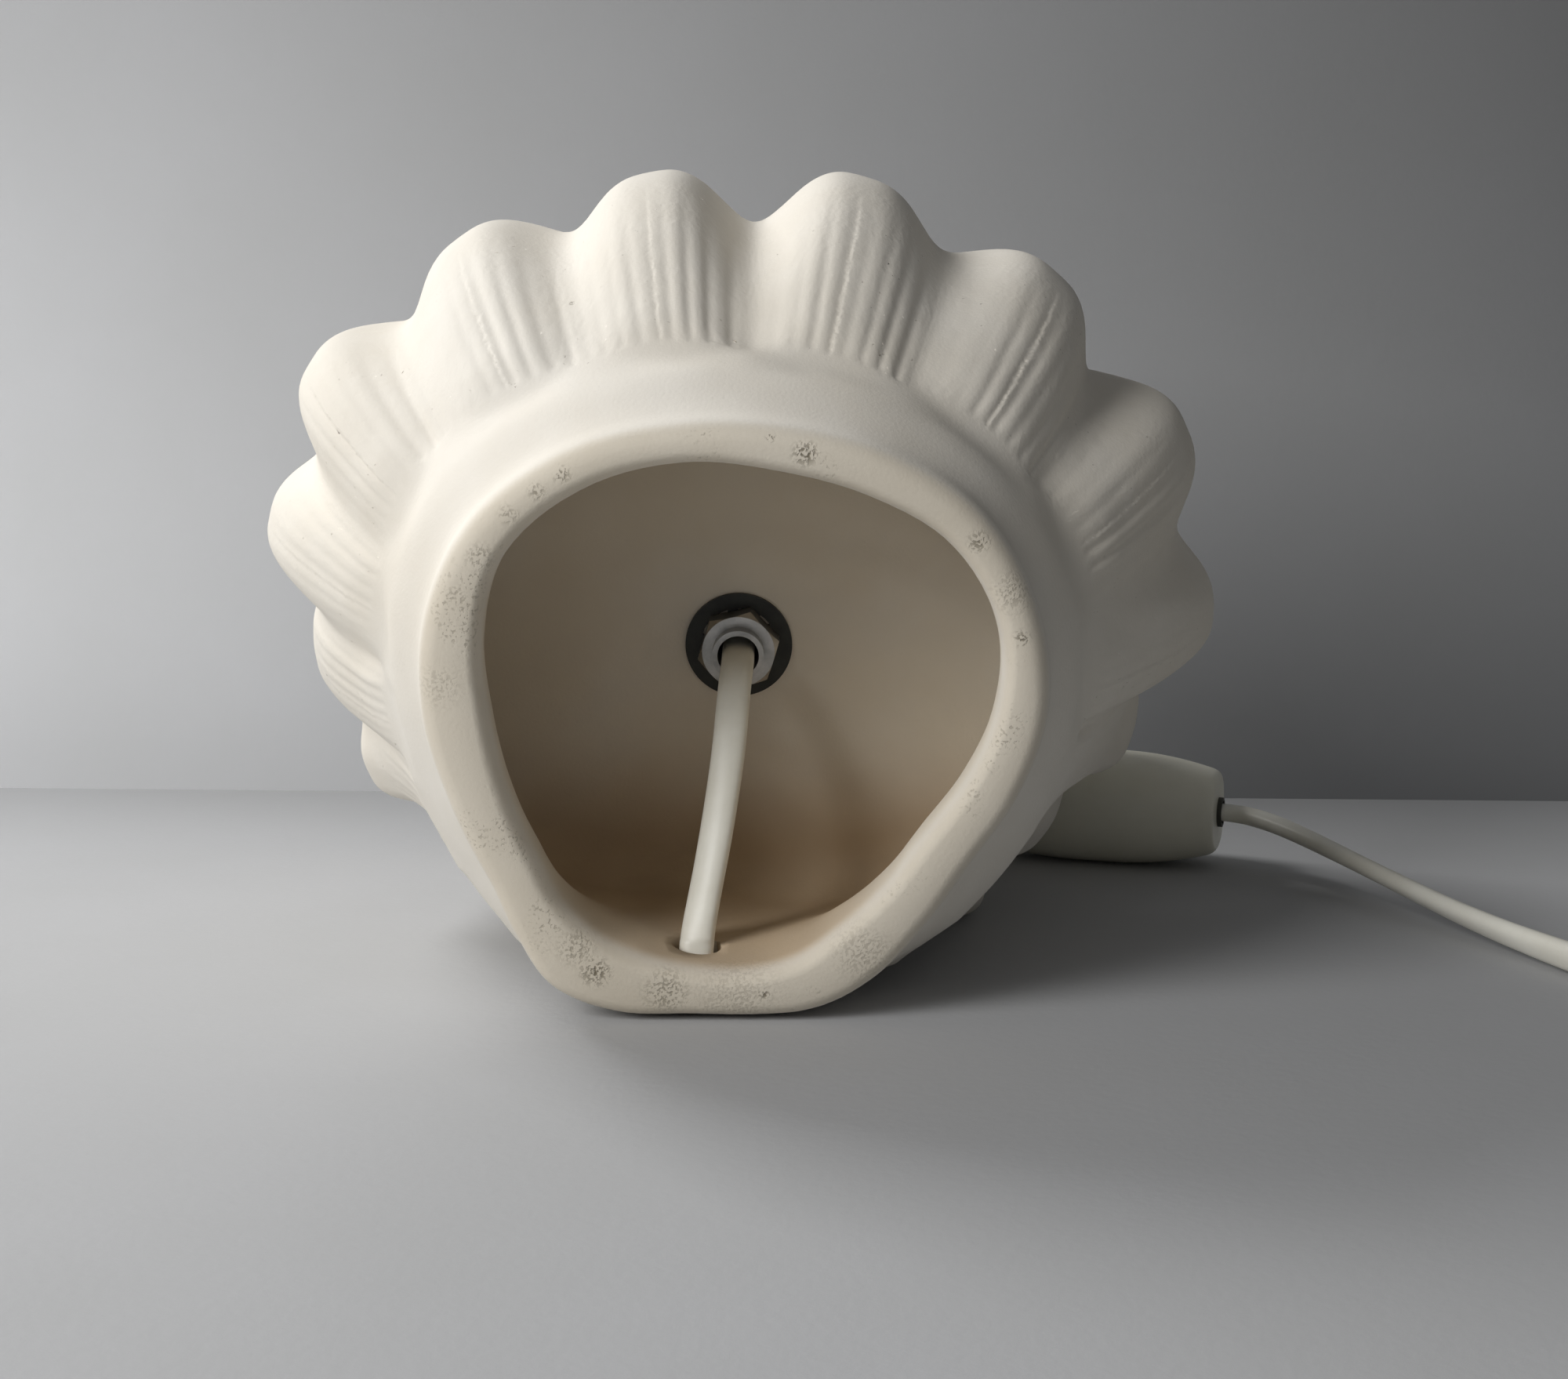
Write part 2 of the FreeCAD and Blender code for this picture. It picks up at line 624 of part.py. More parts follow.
def coil_heading(turn):
    """Level heading of the turns, eased where the coil starts, reverses and ends."""
    angle = radians(COIL_ANGLE) + 2 * pi * turn
    drift = COIL_PITCH / (2 * pi)
    near_end = min(turn, COIL_END_TURN - turn, abs(turn - COIL_TURNS), abs(turn - COIL_TURNS - 0.5)) < 0.01
    if near_end or COIL_TURNS < turn < COIL_TURNS + 0.5:
        outward = 0.0
    else:
        outward = -drift if turn < COIL_TURNS else drift
    point = coil_point(turn)
    radius = sqrt((point.x - COIL_AT[0]) ** 2 + (point.y - COIL_AT[1]) ** 2)
    climb = 0.0
    if COIL_TURNS < turn < COIL_TURNS + 0.5:
        climb = 1.5 * COIL_RISE / pi
    heading = V(
        outward * cos(angle) - radius * sin(angle),
        outward * sin(angle) + radius * cos(angle),
        climb,
    )
    return heading.normalize()


COIL_TOP = coil_point(COIL_END_TURN)
COIL_TOP_HEAD = coil_heading(COIL_END_TURN)


def after_coil(distance, z):
    """A point on the line on which the cord leaves the coil for the plug."""
    return (COIL_TOP.x + COIL_TOP_HEAD.x * distance, COIL_TOP.y + COIL_TOP_HEAD.y * distance, z)


COIL_END = after_coil(6.0, COIL_TOP.z)


def arc_from(start, heading, end):
    """The arc that leaves start along heading and reaches end."""
    chord = end - start
    turn = heading.getAngle(chord)
    if turn < 1e-6:
        return Part.LineSegment(start, end).toShape()
    side = (chord - heading * chord.dot(heading)).normalize()
    radius = chord.Length / 2 / sin(turn)
    centre = start + side * radius
    middle = centre + ((start + end) * 0.5 - centre).normalize() * radius
    return Part.Arc(start, middle, end).toShape()


def biarc(start, heading, end, end_heading):
    """Two arcs that join two points with the given headings."""
    across = end - start
    together = heading + end_heading
    spread = 2 * (1 - heading.dot(end_heading))
    along = across.dot(together)
    reach = (sqrt(along * along + spread * across.dot(across)) - along) / spread
    joint = (start + end + (heading - end_heading) * reach) * 0.5
    first = arc_from(start, heading, joint)
    second = arc_from(end, end_heading * -1, joint)
    return first, second


def mains_coil():
    """The put-away length, one unbroken tube with a straight lead at each end."""
    total = COIL_END_TURN
    stops = [k / 4 for k in range(int(total * 4) + 1)] + [total]
    lead_in = Part.LineSegment(V(*COIL_START), coil_point(0)).toShape()
    edges = [lead_in]
    for a, b in zip(stops, stops[1:]):
        edges.extend(biarc(coil_point(a), coil_heading(a), coil_point(b), coil_heading(b)))
    edges.append(Part.LineSegment(coil_point(total), V(*COIL_END)).toShape())
    wire = Part.Wire(Part.__sortEdges__(edges))
    print(f"mains_coil: {wire.Length:.1f} mm long in {total} turns")
    print(f"mains_coil: least gap to itself {coil_gap(total):.2f} mm")
    return tube("mains_coil", wire, V(*COIL_START), COIL_HEAD)


def coil_gap(total):
    """Least gap between one turn and the next ones, on points of the path."""
    count = int(total * 72)
    points = [coil_point(total * k / count) for k in range(count + 1)]
    apart = int(count / total * 0.6)
    least = 1e9
    for i, point in enumerate(points):
        for other in points[i + apart:]:
            least = min(least, point.distanceToPoint(other))
    return least - 2 * CORD_R


# from the top of the coil down to the plug's sleeve, which lies beside the coil
PLUG_AT = after_coil(48.0, PLUG_Z)
PLUG_CORD = [
    COIL_END,
    after_coil(15.0, COIL_END[2]),
    after_coil(26.0, PLUG_Z + 1.2),
    after_coil(37.0, PLUG_Z),
    PLUG_AT,
]


def coil_tie():
    """Thin strap wrapped round the turns where the plug's cord leaves them."""
    inner = COIL_OUTER - COIL_PITCH * COIL_TURNS - CORD_R - 0.5
    outer = COIL_OUTER + CORD_R + 0.5
    low = COIL_Z - CORD_R - 0.2
    high = COIL_Z + COIL_RISE + CORD_R + 0.3
    wall = 0.8
    band = Part.makeBox(outer - inner + 2 * wall, 9.0, high - low + 2 * wall, V(inner - wall, -4.5, low - wall))
    band = band.cut(Part.makeBox(outer - inner, 11.0, high - low, V(inner, -5.5, low)))
    band.rotate(V(0, 0, 0), V(0, 0, 1), TIE_ANGLE)
    band.translate(V(COIL_AT[0], COIL_AT[1], 0))
    return band


# ---------------------------------------------------------------- in-line switch


def case_section(x, width, height):
    """A rounded, nearly oval wire across the switch."""
    points = []
    for k in range(24):
        angle = 2 * pi * k / 24
        c = cos(angle)
        s = sin(angle)
        bulge = (abs(c) ** 2.6 + abs(s) ** 2.6) ** (-1 / 2.6)
        points.append(V(x, width / 2 * bulge * c, SPLIT_Z + height / 2 * bulge * s))
    steps = [k / 24 for k in range(25)]
    curve = Part.BSplineCurve()
    curve.interpolate(Points=points, PeriodicFlag=True, Parameters=steps)
    return Part.Wire([curve.toShape()])


def case_blank():
    """Barrel-shaped case, narrower and rounded at both ends."""
    half = SWITCH_LENGTH / 2
    stations = [(0.0, 1.0), (0.35, 0.985), (0.7, 0.885), (0.9, 0.785), (0.95, 0.75), (0.985, 0.70), (1.0, 0.64)]
    ends = [(-t, f) for t, f in reversed(stations[1:])] + stations
    rings = [case_section(t * half, SWITCH_WIDTH * f, SWITCH_HEIGHT * f) for t, f in ends]
    return Part.makeLoft(rings, True, False)


SCREWS_AT = [(19.0, 7.0), (-22.0, -6.8)]


def along_x(radius, start, end, y, z):
    return Part.makeCylinder(radius, end - start, V(start, y, z), V(1, 0, 0))


def case_halves():
    """Base and cover, hollow for the terminals and the cords."""
    blank = case_blank()
    big = 80.0
    base = blank.common(Part.makeBox(big, big, SPLIT_Z + 5, V(-big / 2, -big / 2, -5)))
    cover = blank.common(Part.makeBox(big, big, 40, V(-big / 2, -big / 2, SPLIT_Z)))
    hollow = Part.makeBox(30.5, 16.0, 13.0, V(-18.5, -8.0, 3.0))
    base = base.cut(hollow)
    cover = cover.cut(hollow)
    pocket = Part.makeBox(2 * ROCKER_R + 1.0, 11.4, 20, V(ROCKER_X - ROCKER_R - 0.5, -5.7, SPLIT_Z))
    cover = cover.cut(pocket)
    pin_bore = Part.makeCylinder(ROCKER_PIN_R, 17.0, V(ROCKER_X, -8.5, ROCKER_Z), V(0, 1, 0))
    cover = cover.cut(pin_bore)
    for start in (-40.0, 11.0):
        entry = along_x(CORD_ENTRY_R, start, start + 29.0, 0, SPLIT_Z)
        base = base.cut(entry)
        cover = cover.cut(entry)
    for x, y in SCREWS_AT:
        base = base.cut(Part.makeCylinder(2.9, 5.0, V(x, y, 0)))
        base = base.cut(Part.makeCylinder(1.6, 20.0, V(x, y, 0)))
        cover = cover.cut(Part.makeCylinder(1.4, 6.0, V(x, y, SPLIT_Z)))
    return base, cover


def cord_grommets():
    """Dark collars that fill the case's two cord entries."""
    half = SWITCH_LENGTH / 2
    rings = []
    for start in (-half - 1.0, half + 1.0 - GROMMET_LENGTH):
        collar = along_x(CORD_ENTRY_R, start, start + GROMMET_LENGTH, 0, SPLIT_Z)
        rings.append(collar.cut(along_x(CORD_R + 0.12, start - 1, start + GROMMET_LENGTH + 1, 0, SPLIT_Z)))
    return Part.makeCompound(rings)


def case_screws():
    screws = []
    for x, y in SCREWS_AT:
        head = Part.makeCylinder(2.7, 1.8, V(x, y, 3.2))
        shank = Part.makeCylinder(1.4, SPLIT_Z + 5.5 - 5.0, V(x, y, 5.0))
        cross = Part.makeBox(3.4, 0.7, 0.9, V(x - 1.7, y - 0.35, 3.2))
        cross_over = Part.makeBox(0.7, 3.4, 0.9, V(x - 0.35, y - 1.7, 3.2))
        screws.append(head.fuse(shank).cut(cross).cut(cross_over))
    return Part.makeCompound(screws)


def switch_rocker():
    """Roof-shaped rocker on a pin, drawn with its right end up."""
    half = ROCKER_WIDTH / 2
    corners = [(-9.5, 6.9), (0, 7.7), (9.5, 6.9), (9.5, 0.5), (4.5, -3.0), (-4.5, -3.0), (-9.5, 0.5)]
    points = [V(ROCKER_X + x, -half, ROCKER_Z + z) for x, z in corners]
    roof = Part.Face(Part.makePolygon(points + points[:1])).extrude(V(0, ROCKER_WIDTH, 0))
    axis_start = V(ROCKER_X, -half - 1, ROCKER_Z)
    roof = roof.common(Part.makeCylinder(ROCKER_R, ROCKER_WIDTH + 2, axis_start, V(0, 1, 0)))
    roof = roof.cut(Part.makeCylinder(ROCKER_PIN_R + 0.05, ROCKER_WIDTH + 2, axis_start, V(0, 1, 0)))
    roof.rotate(V(ROCKER_X, 0, ROCKER_Z), V(0, 1, 0), -ROCKER_REST)
    return roof


def rocker_pin():
    return Part.makeCylinder(ROCKER_PIN_R, 17.0, V(ROCKER_X, -8.5, ROCKER_Z), V(0, 1, 0))


def switch_terminals():
    """Two brass blocks that the cords' ends meet."""
    blocks = []
    for x, low in ((CORD_END_LEFT, 3.0), (CORD_END_RIGHT - 5.0, 3.0)):
        blocks.append(Part.makeBox(5.0, 12.0, 11.3, V(x, -6.0, low)))
    return Part.makeCompound(blocks)


def switch_contact():
    """Sprung brass bridge under the rocker."""
    bridge = Part.makeBox(15.0, 5.0, 0.6, V(-11.5, -2.5, 9.0))
    left = Part.makeBox(3.0, 5.0, 6.0, V(-11.5, -2.5, 3.0))
    return bridge.fuse(left).removeSplitter()


def place_switch(shape):
    moved = shape.copy()
    turn = FreeCAD.Rotation(V(0, 0, 1), SWITCH_YAW)
    place = FreeCAD.Placement(V(SWITCH_AT[0], SWITCH_AT[1], 0), turn)
    moved.Placement = place.multiply(moved.Placement)
    return moved


# ---------------------------------------------------------------- plug


def rounded_plate(y, width, thick, corner):
    """A rounded rectangle wire across the plug, centred on its axis."""
    w = width / 2
    t = thick / 2
    k = corner * (1 - sqrt(0.5))
    spots = [
        ((w, -t + corner), (w, t - corner), (w - k, t - k), (w - corner, t)),
        ((w - corner, t), (-w + corner, t), (-w + k, t - k), (-w, t - corner)),
        ((-w, t - corner), (-w, -t + corner), (-w + k, -t + k), (-w + corner, -t)),
        ((-w + corner, -t), (w - corner, -t), (w - k, -t + k), (w, -t + corner)),
    ]
    edges = []
    for start, end, middle, after in spots:
        a, b, m, c = (V(x, y, z) for x, z in (start, end, middle, after))
        edges.append(Part.LineSegment(a, b).toShape())
        edges.append(Part.Arc(b, m, c).toShape())
    return Part.Wire(edges)


def plug_body():
    """Flat moulded two-pin plug, its face away from the cord."""
    sections = [(0.0, 14.0, 11.0), (10.0, 19.0, 12.6), (22.0, 31.0, 13.5), (30.0, PLUG_WIDTH, PLUG_THICK)]
    rings = [rounded_plate(y, w, t, 4.5) for y, w, t in sections]
    nose = Part.makeLoft(rings, True, True)
    front = Part.Face(rounded_plate(30.0, PLUG_WIDTH, PLUG_THICK, 4.5)).extrude(V(0, PLUG_LENGTH - 30.0, 0))
    return nose.fuse(front).removeSplitter()


def plug_pins():
    """Two slim pins that lean together a little, rounded at their tips."""
    pins = []
    for side in (-1, 1):
        root = V(side * PIN_SPACING / 2, PLUG_LENGTH, 0)
        tip = V(side * PIN_TIP_SPACING / 2, PLUG_LENGTH + PIN_LENGTH, 0)
        heading = (tip - root).normalize()
        shaft = Part.makeCylinder(PIN_R, PIN_LENGTH - PIN_R, root, heading)
        end = root + heading * (PIN_LENGTH - PIN_R)
        pins.append(shaft.fuse(Part.makeSphere(PIN_R, end)).removeSplitter())
    return Part.makeCompound(pins).cut(plug_body())


def plug_sleeve():
    """Tapered bend protector moulded on the cord behind the plug."""
    cone = Part.makeCone(3.3, 5.0, SLEEVE_LENGTH, V(0, -SLEEVE_LENGTH, 0), V(0, 1, 0))
    for k in range(5):
        y = -SLEEVE_LENGTH + 4.5 + 4.4 * k
        groove = Part.makeCylinder(9, 1.4, V(0, y, 0), V(0, 1, 0))
        groove = groove.cut(Part.makeCylinder(2.9 + 0.3 * k, 1.4, V(0, y, 0), V(0, 1, 0)))
        cone = cone.cut(groove)
    return cone


def place_plug(shape):
    moved = shape.copy()
    moved.translate(V(0, SLEEVE_LENGTH, 0))
    moved.rotate(V(0, 0, 0), V(0, 0, 1), degrees(atan2(-COIL_TOP_HEAD.x, COIL_TOP_HEAD.y)))
    moved.translate(V(*PLUG_AT))
    return moved


# ---------------------------------------------------------------- write the nodes


def main():
    save("ceramic_shell", lay(ceramic_shell()))
    save("threaded_tube", lay(threaded_tube()))
    save("tooth_washer", lay(tooth_washer()))
    save("hex_nut", lay(hex_nut()))
    save("seat_washer", lay(seat_washer()))
    save("holder_cap", lay(holder_cap()))
    save("holder_body", lay(holder_body()))
    save("holder_insert", lay(holder_insert()))
    save("terminal_screws", lay(terminal_screws()))
    save("screw_shell", lay(screw_shell()))
    save("centre_contact", lay(centre_contact()))
    bulb_names = ("bulb_tip", "bulb_insulator", "bulb_cap", "bulb_glass")
    for name, piece in zip(bulb_names, bulb_pieces()):
        save(name, lay(piece))
    inner = Part.makeCylinder(CORD_R, 20.0, V(0, 0, TUBE_FROM))
    save("cord_in_tube", lay(inner))
    save("lamp_cord", cord("lamp_cord", LAMP_CORD))
    base, cover = case_halves()
    save("switch_base", place_switch(base))
    save("switch_cover", place_switch(cover))
    save("switch_screws", place_switch(case_screws()))
    save("cord_grommets", place_switch(cord_grommets()))
    save("switch_rocker", place_switch(switch_rocker()))
    save("rocker_pin", place_switch(rocker_pin()))
    save("switch_terminals", place_switch(switch_terminals()))
    save("switch_contact", place_switch(switch_contact()))
    save("mains_cord", cord("mains_cord", MAINS_CORD))
    save("mains_coil", mains_coil())
    save("coil_tie", coil_tie())
    save("plug_cord", cord("plug_cord", PLUG_CORD))
    save("plug_sleeve", place_plug(plug_sleeve()))
    save("plug_body", place_plug(plug_body()))
    save("plug_pins", place_plug(plug_pins()))


main()
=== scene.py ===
from math import atan2, cos, degrees, pi, radians, sin, sqrt

import bmesh
import bpy
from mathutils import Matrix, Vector


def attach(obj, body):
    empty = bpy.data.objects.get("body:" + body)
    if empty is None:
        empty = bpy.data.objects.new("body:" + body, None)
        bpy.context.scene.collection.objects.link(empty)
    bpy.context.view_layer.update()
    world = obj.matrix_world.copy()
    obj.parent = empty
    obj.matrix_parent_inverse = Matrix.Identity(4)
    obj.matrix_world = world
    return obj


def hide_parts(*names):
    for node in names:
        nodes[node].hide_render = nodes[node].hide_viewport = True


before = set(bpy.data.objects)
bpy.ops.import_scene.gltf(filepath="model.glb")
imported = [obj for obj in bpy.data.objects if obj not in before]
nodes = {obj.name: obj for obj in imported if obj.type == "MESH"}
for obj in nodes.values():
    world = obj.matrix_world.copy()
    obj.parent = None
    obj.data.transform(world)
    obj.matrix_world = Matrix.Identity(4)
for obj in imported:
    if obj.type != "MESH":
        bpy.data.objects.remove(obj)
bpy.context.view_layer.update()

# ---------------------------------------------------------------- camera
# It stands low in front of the open foot, 434 mm from the shell's middle and 112 mm above the table,
# and looks a little down on it.

CAMERA_AT = (0.0088, -0.4344, 0.112)
LOOKS_DOWN = 8.2

lens = bpy.data.cameras.new("foot_view")
lens.lens = 50.0
lens.sensor_width = 36.0
lens.clip_start = 0.01
camera = bpy.data.objects.new("foot_view", lens)
camera.location = CAMERA_AT
camera.rotation_euler = (radians(90 - LOOKS_DOWN), 0, 0)
bpy.context.collection.objects.link(camera)
bpy.context.scene.camera = camera

# ---------------------------------------------------------------- cord from the lamp to the switch
# Flat two-core flex in a plain ivory plastic sheath, 6.2 by 3.8 mm. It comes out of the threaded tube,
# drops to a hole behind the foot's rim, runs under the lamp in the valley of its back and comes
# out behind the lip, where it turns round to the in-line switch.

CORD_WIDE = 0.0062
CORD_THIN = 0.0038
CORD_ROUNDNESS = 2.5
CORD_SIDES = 20
SWITCH_AT = (0.0822, 0.0661)
SWITCH_YAW = radians(-19.0)
SWITCH_MID = 0.01275


def switch_point(x, y, z):
    """Where a point along, across and above the switch is, in metres."""
    return (
        SWITCH_AT[0] + x * cos(SWITCH_YAW) - y * sin(SWITCH_YAW),
        SWITCH_AT[1] + x * sin(SWITCH_YAW) + y * cos(SWITCH_YAW),
        z,
    )


TUBE_MOUTH = (0.0, -0.02044, 0.05879)

# point, then the way the cord's wide side faces there: 0 level, 90 upright
lamp_route = [
    ((0.0, -0.00075, 0.06226), 0),
    ((0.0, -0.01060, 0.06053), 0),
    (TUBE_MOUTH, 0),
    ((0.0, -0.02635, 0.05775), 0),
    ((-0.0004, -0.0316, 0.0549), 0),
    ((-0.0008, -0.0361, 0.0502), 0),
    ((-0.0014, -0.0403, 0.0434), 0),
    ((-0.0026, -0.0440, 0.0352), 0),
    ((-0.0040, -0.0475, 0.0269), 0),
    ((-0.0055, -0.0504, 0.0193), 0),
    ((-0.0066, -0.0528, 0.0136), 0),
    ((-0.0070, -0.0543, 0.0095), 0),
    ((-0.0070, -0.0542, 0.0065), 0),
    ((-0.0070, -0.0526, 0.0040), 0),
    ((-0.0070, -0.0500, 0.0026), 0),
    ((-0.0071, -0.0445, 0.0026), 0),
    ((-0.0075, -0.0340, 0.0026), 0),
    ((-0.0078, -0.0140, 0.0026), 0),
    ((-0.0084, 0.0140, 0.0026), 0),
    ((-0.0082, 0.0400, 0.0026), 0),
    ((-0.0086, 0.0600, 0.0026), 0),
    ((-0.0084, 0.0740, 0.0026), 10),
    ((-0.0084, 0.0834, 0.0028), 30),
    ((-0.0053, 0.0904, 0.0031), 55),
    ((0.0005, 0.0955, 0.0033), 65),
    ((0.0078, 0.0978, 0.0033), 65),
    ((0.0154, 0.0968, 0.0033), 55),
    ((0.0241, 0.0918, 0.0040), 40),
    ((0.0348, 0.0855, 0.0078), 20),
    (switch_point(-0.0380, -0.00012, SWITCH_MID), 0),
    (switch_point(-0.0285, 0, SWITCH_MID), 0),
    (switch_point(-0.0185, 0, SWITCH_MID), 0),
]


def smooth_line(name, points):
    """The smooth line that a cord takes along its route, as points."""
    curve = bpy.data.curves.new(name, "CURVE")
    curve.dimensions = "3D"
    curve.resolution_u = 10
    spline = curve.splines.new("NURBS")
    spline.points.add(len(points) - 1)
    for slot, point in zip(spline.points, points):
        slot.co = (*point, 1.0)
    spline.order_u = 3
    spline.use_endpoint_u = True
    holder = bpy.data.objects.new(name, curve)
    bpy.context.collection.objects.link(holder)
    bpy.context.view_layer.update()
    flat = bpy.data.meshes.new_from_object(holder)
    line = [v.co.copy() for v in flat.vertices]
    bpy.data.objects.remove(holder)
    bpy.data.meshes.remove(flat)
    return line


STEEP = 0.35


def flat_cord(name, route):
    """A flat cord swept along its line, its wide side turned as the route says."""
    points = [Vector(p) for p, _ in route]
    line = smooth_line(name + "_line", points)
    mesh = bmesh.new()
    rings = []
    reach = 0
    for k, here in enumerate(line):
        ahead = line[min(k + 1, len(line) - 1)] - line[max(k - 1, 0)]
        ahead.normalize()
        while reach < len(points) - 2:
            if (points[reach + 1] - here).dot(points[reach + 1] - points[reach]) >= 0:
                break
            reach += 1
        span = points[reach + 1] - points[reach]
        share = min(max((here - points[reach]).dot(span) / span.length_squared, 0.0), 1.0)
        lean = radians(route[reach][1] + (route[reach + 1][1] - route[reach][1]) * share)
        level = ahead.cross(Vector((0, 0, 1)))
        if level.length < STEEP:
            level = Vector((1, 0, 0)) - ahead * ahead.x
        level.normalize()
        if rings and level.dot(before) < 0:
            level = -level
        before = level
        upright = level.cross(ahead).normalized()
        wide = level * cos(lean) + upright * sin(lean)
        thin = ahead.cross(wide).normalized()
        ring = []
        for j in range(CORD_SIDES):
            angle = 2 * pi * j / CORD_SIDES
            c, s = cos(angle), sin(angle)
            plump = (abs(c) ** CORD_ROUNDNESS + abs(s) ** CORD_ROUNDNESS) ** (-1 / CORD_ROUNDNESS)
            flank = here + wide * (CORD_WIDE / 2 * plump * c)
            ring.append(mesh.verts.new(flank + thin * (CORD_THIN / 2 * plump * s)))
        rings.append(ring)
    for a, b in zip(rings, rings[1:]):
        for j in range(CORD_SIDES):
            after = (j + 1) % CORD_SIDES
            face = mesh.faces.new((a[j], a[after], b[after], b[j]))
            face.smooth = True
    mesh.faces.new(list(reversed(rings[0])))
    mesh.faces.new(rings[-1])
    bmesh.ops.recalc_face_normals(mesh, faces=mesh.faces)
    data = bpy.data.meshes.new(name)
    mesh.to_mesh(data)
    mesh.free()
    piece = bpy.data.objects.new(name, data)
    bpy.context.collection.objects.link(piece)
    return piece, [tuple(p) for p in line]


def grain_group():
    """Fine unevenness of a surface and broad clouds of its colour."""
    group = bpy.data.node_groups.new("surface_grain", "ShaderNodeTree")
    for label, value in (("Fine", 900.0), ("Broad", 25.0)):
        socket = group.interface.new_socket(label, in_out="INPUT", socket_type="NodeSocketFloat")
        socket.default_value = value
    group.interface.new_socket("Height", in_out="OUTPUT", socket_type="NodeSocketFloat")
    group.interface.new_socket("Clouds", in_out="OUTPUT", socket_type="NodeSocketFloat")
    tree, link = group.nodes, group.links.new
    enter, leave = tree.new("NodeGroupInput"), tree.new("NodeGroupOutput")
    place = tree.new("ShaderNodeTexCoord")
    fine, broad = tree.new("ShaderNodeTexNoise"), tree.new("ShaderNodeTexNoise")
    fine.inputs["Detail"].default_value = 4.0
    broad.inputs["Detail"].default_value = 5.0
    broad.inputs["Roughness"].default_value = 0.6
    link(place.outputs["Object"], fine.inputs["Vector"])
    link(place.outputs["Object"], broad.inputs["Vector"])
    link(enter.outputs["Fine"], fine.inputs["Scale"])
    link(enter.outputs["Broad"], broad.inputs["Scale"])
    link(fine.outputs["Fac"], leave.inputs["Height"])
    link(broad.outputs["Fac"], leave.inputs["Clouds"])
    return group


surface_grain = grain_group()
CLOUD_EDGES = (0.35, 0.65)


def plain_finish(name, light, dark, roughness, fine=900.0, broad=25.0, depth=0.00002, metallic=0.0):
    """A finish whose colour clouds between two tones over a fine grain."""
    material = bpy.data.materials.new(name)
    material.use_nodes = True
    tree, link = material.node_tree.nodes, material.node_tree.links.new
    shader = tree["Principled BSDF"]
    shader.inputs["Roughness"].default_value = roughness
    shader.inputs["Metallic"].default_value = metallic
    grain = tree.new("ShaderNodeGroup")
    grain.node_tree = surface_grain
    grain.inputs["Fine"].default_value = fine
    grain.inputs["Broad"].default_value = broad
    spread = tree.new("ShaderNodeMapRange")
    spread.inputs["From Min"].default_value = CLOUD_EDGES[0]
    spread.inputs["From Max"].default_value = CLOUD_EDGES[1]
    tint = tree.new("ShaderNodeMix")
    tint.data_type = "RGBA"
    tint.inputs["A"].default_value = (*dark, 1)
    tint.inputs["B"].default_value = (*light, 1)
    bump = tree.new("ShaderNodeBump")
    bump.inputs["Distance"].default_value = depth
    link(grain.outputs["Clouds"], spread.inputs["Value"])
    link(spread.outputs["Result"], tint.inputs["Factor"])
    link(tint.outputs["Result"], shader.inputs["Base Color"])
    link(grain.outputs["Height"], bump.inputs["Height"])
    link(bump.outputs["Normal"], shader.inputs["Normal"])
    return material


cord_plastic = plain_finish(
    "cord_plastic", (0.88, 0.86, 0.77), (0.80, 0.77, 0.67), 0.42, 500.0, 60.0, 0.00003)

lamp_flex, lamp_line = flat_cord("lamp_flex", lamp_route)
lamp_flex.data.materials.append(cord_plastic)
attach(lamp_flex, "lamp")
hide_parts("lamp_cord", "cord_in_tube")

# ---------------------------------------------------------------- cord from the switch to the plug
# The same flex. It slopes down to the table, leaves the picture on the right and is put away in
# a round coil of two layers, three turns in and three out, with a strap round it.

COIL_ENTRY = Vector((0.1686, -0.0614, 0))
COIL_ANGLE = radians(205.5)
COIL_TURNS = 3
COIL_END_TURN = 6.375
COIL_PITCH = 0.0064
COIL_OUTER = 0.0395
COIL_LOW = 0.00355
COIL_RISE = 0.0066
COIL_AT = COIL_ENTRY - Vector((cos(COIL_ANGLE), sin(COIL_ANGLE), 0)) * COIL_OUTER
COIL_CLIMB = 0.5
COIL_STEPS = 16


def coil_point(turn, swell=1.0):
    """A point of the coil's line, in by three turns, half a turn up, and out again."""
    if turn <= COIL_TURNS:
        radius, height = COIL_OUTER - COIL_PITCH * turn, COIL_LOW
    elif turn <= COIL_TURNS + COIL_CLIMB:
        t = (turn - COIL_TURNS) / COIL_CLIMB
        radius, height = COIL_OUTER - COIL_PITCH * COIL_TURNS, COIL_LOW + COIL_RISE * t * t * (3 - 2 * t)
    else:
        radius = COIL_OUTER - COIL_PITCH * (2 * COIL_TURNS + COIL_CLIMB - turn)
        height = COIL_LOW + COIL_RISE
    angle = COIL_ANGLE + 2 * pi * turn
    return COIL_AT + Vector((radius * swell * cos(angle), radius * swell * sin(angle), height))


coil_top = coil_point(COIL_END_TURN)
coil_top_angle = COIL_ANGLE + 2 * pi * COIL_END_TURN
coil_top_way = Vector((-sin(coil_top_angle), cos(coil_top_angle), 0))
coil_way = Vector((-sin(COIL_ANGLE), cos(COIL_ANGLE), 0))


def after_coil(distance, z):
    """A point past the coil, straight on from its end, at a height."""
    return (coil_top.x + coil_top_way.x * distance, coil_top.y + coil_top_way.y * distance, z)


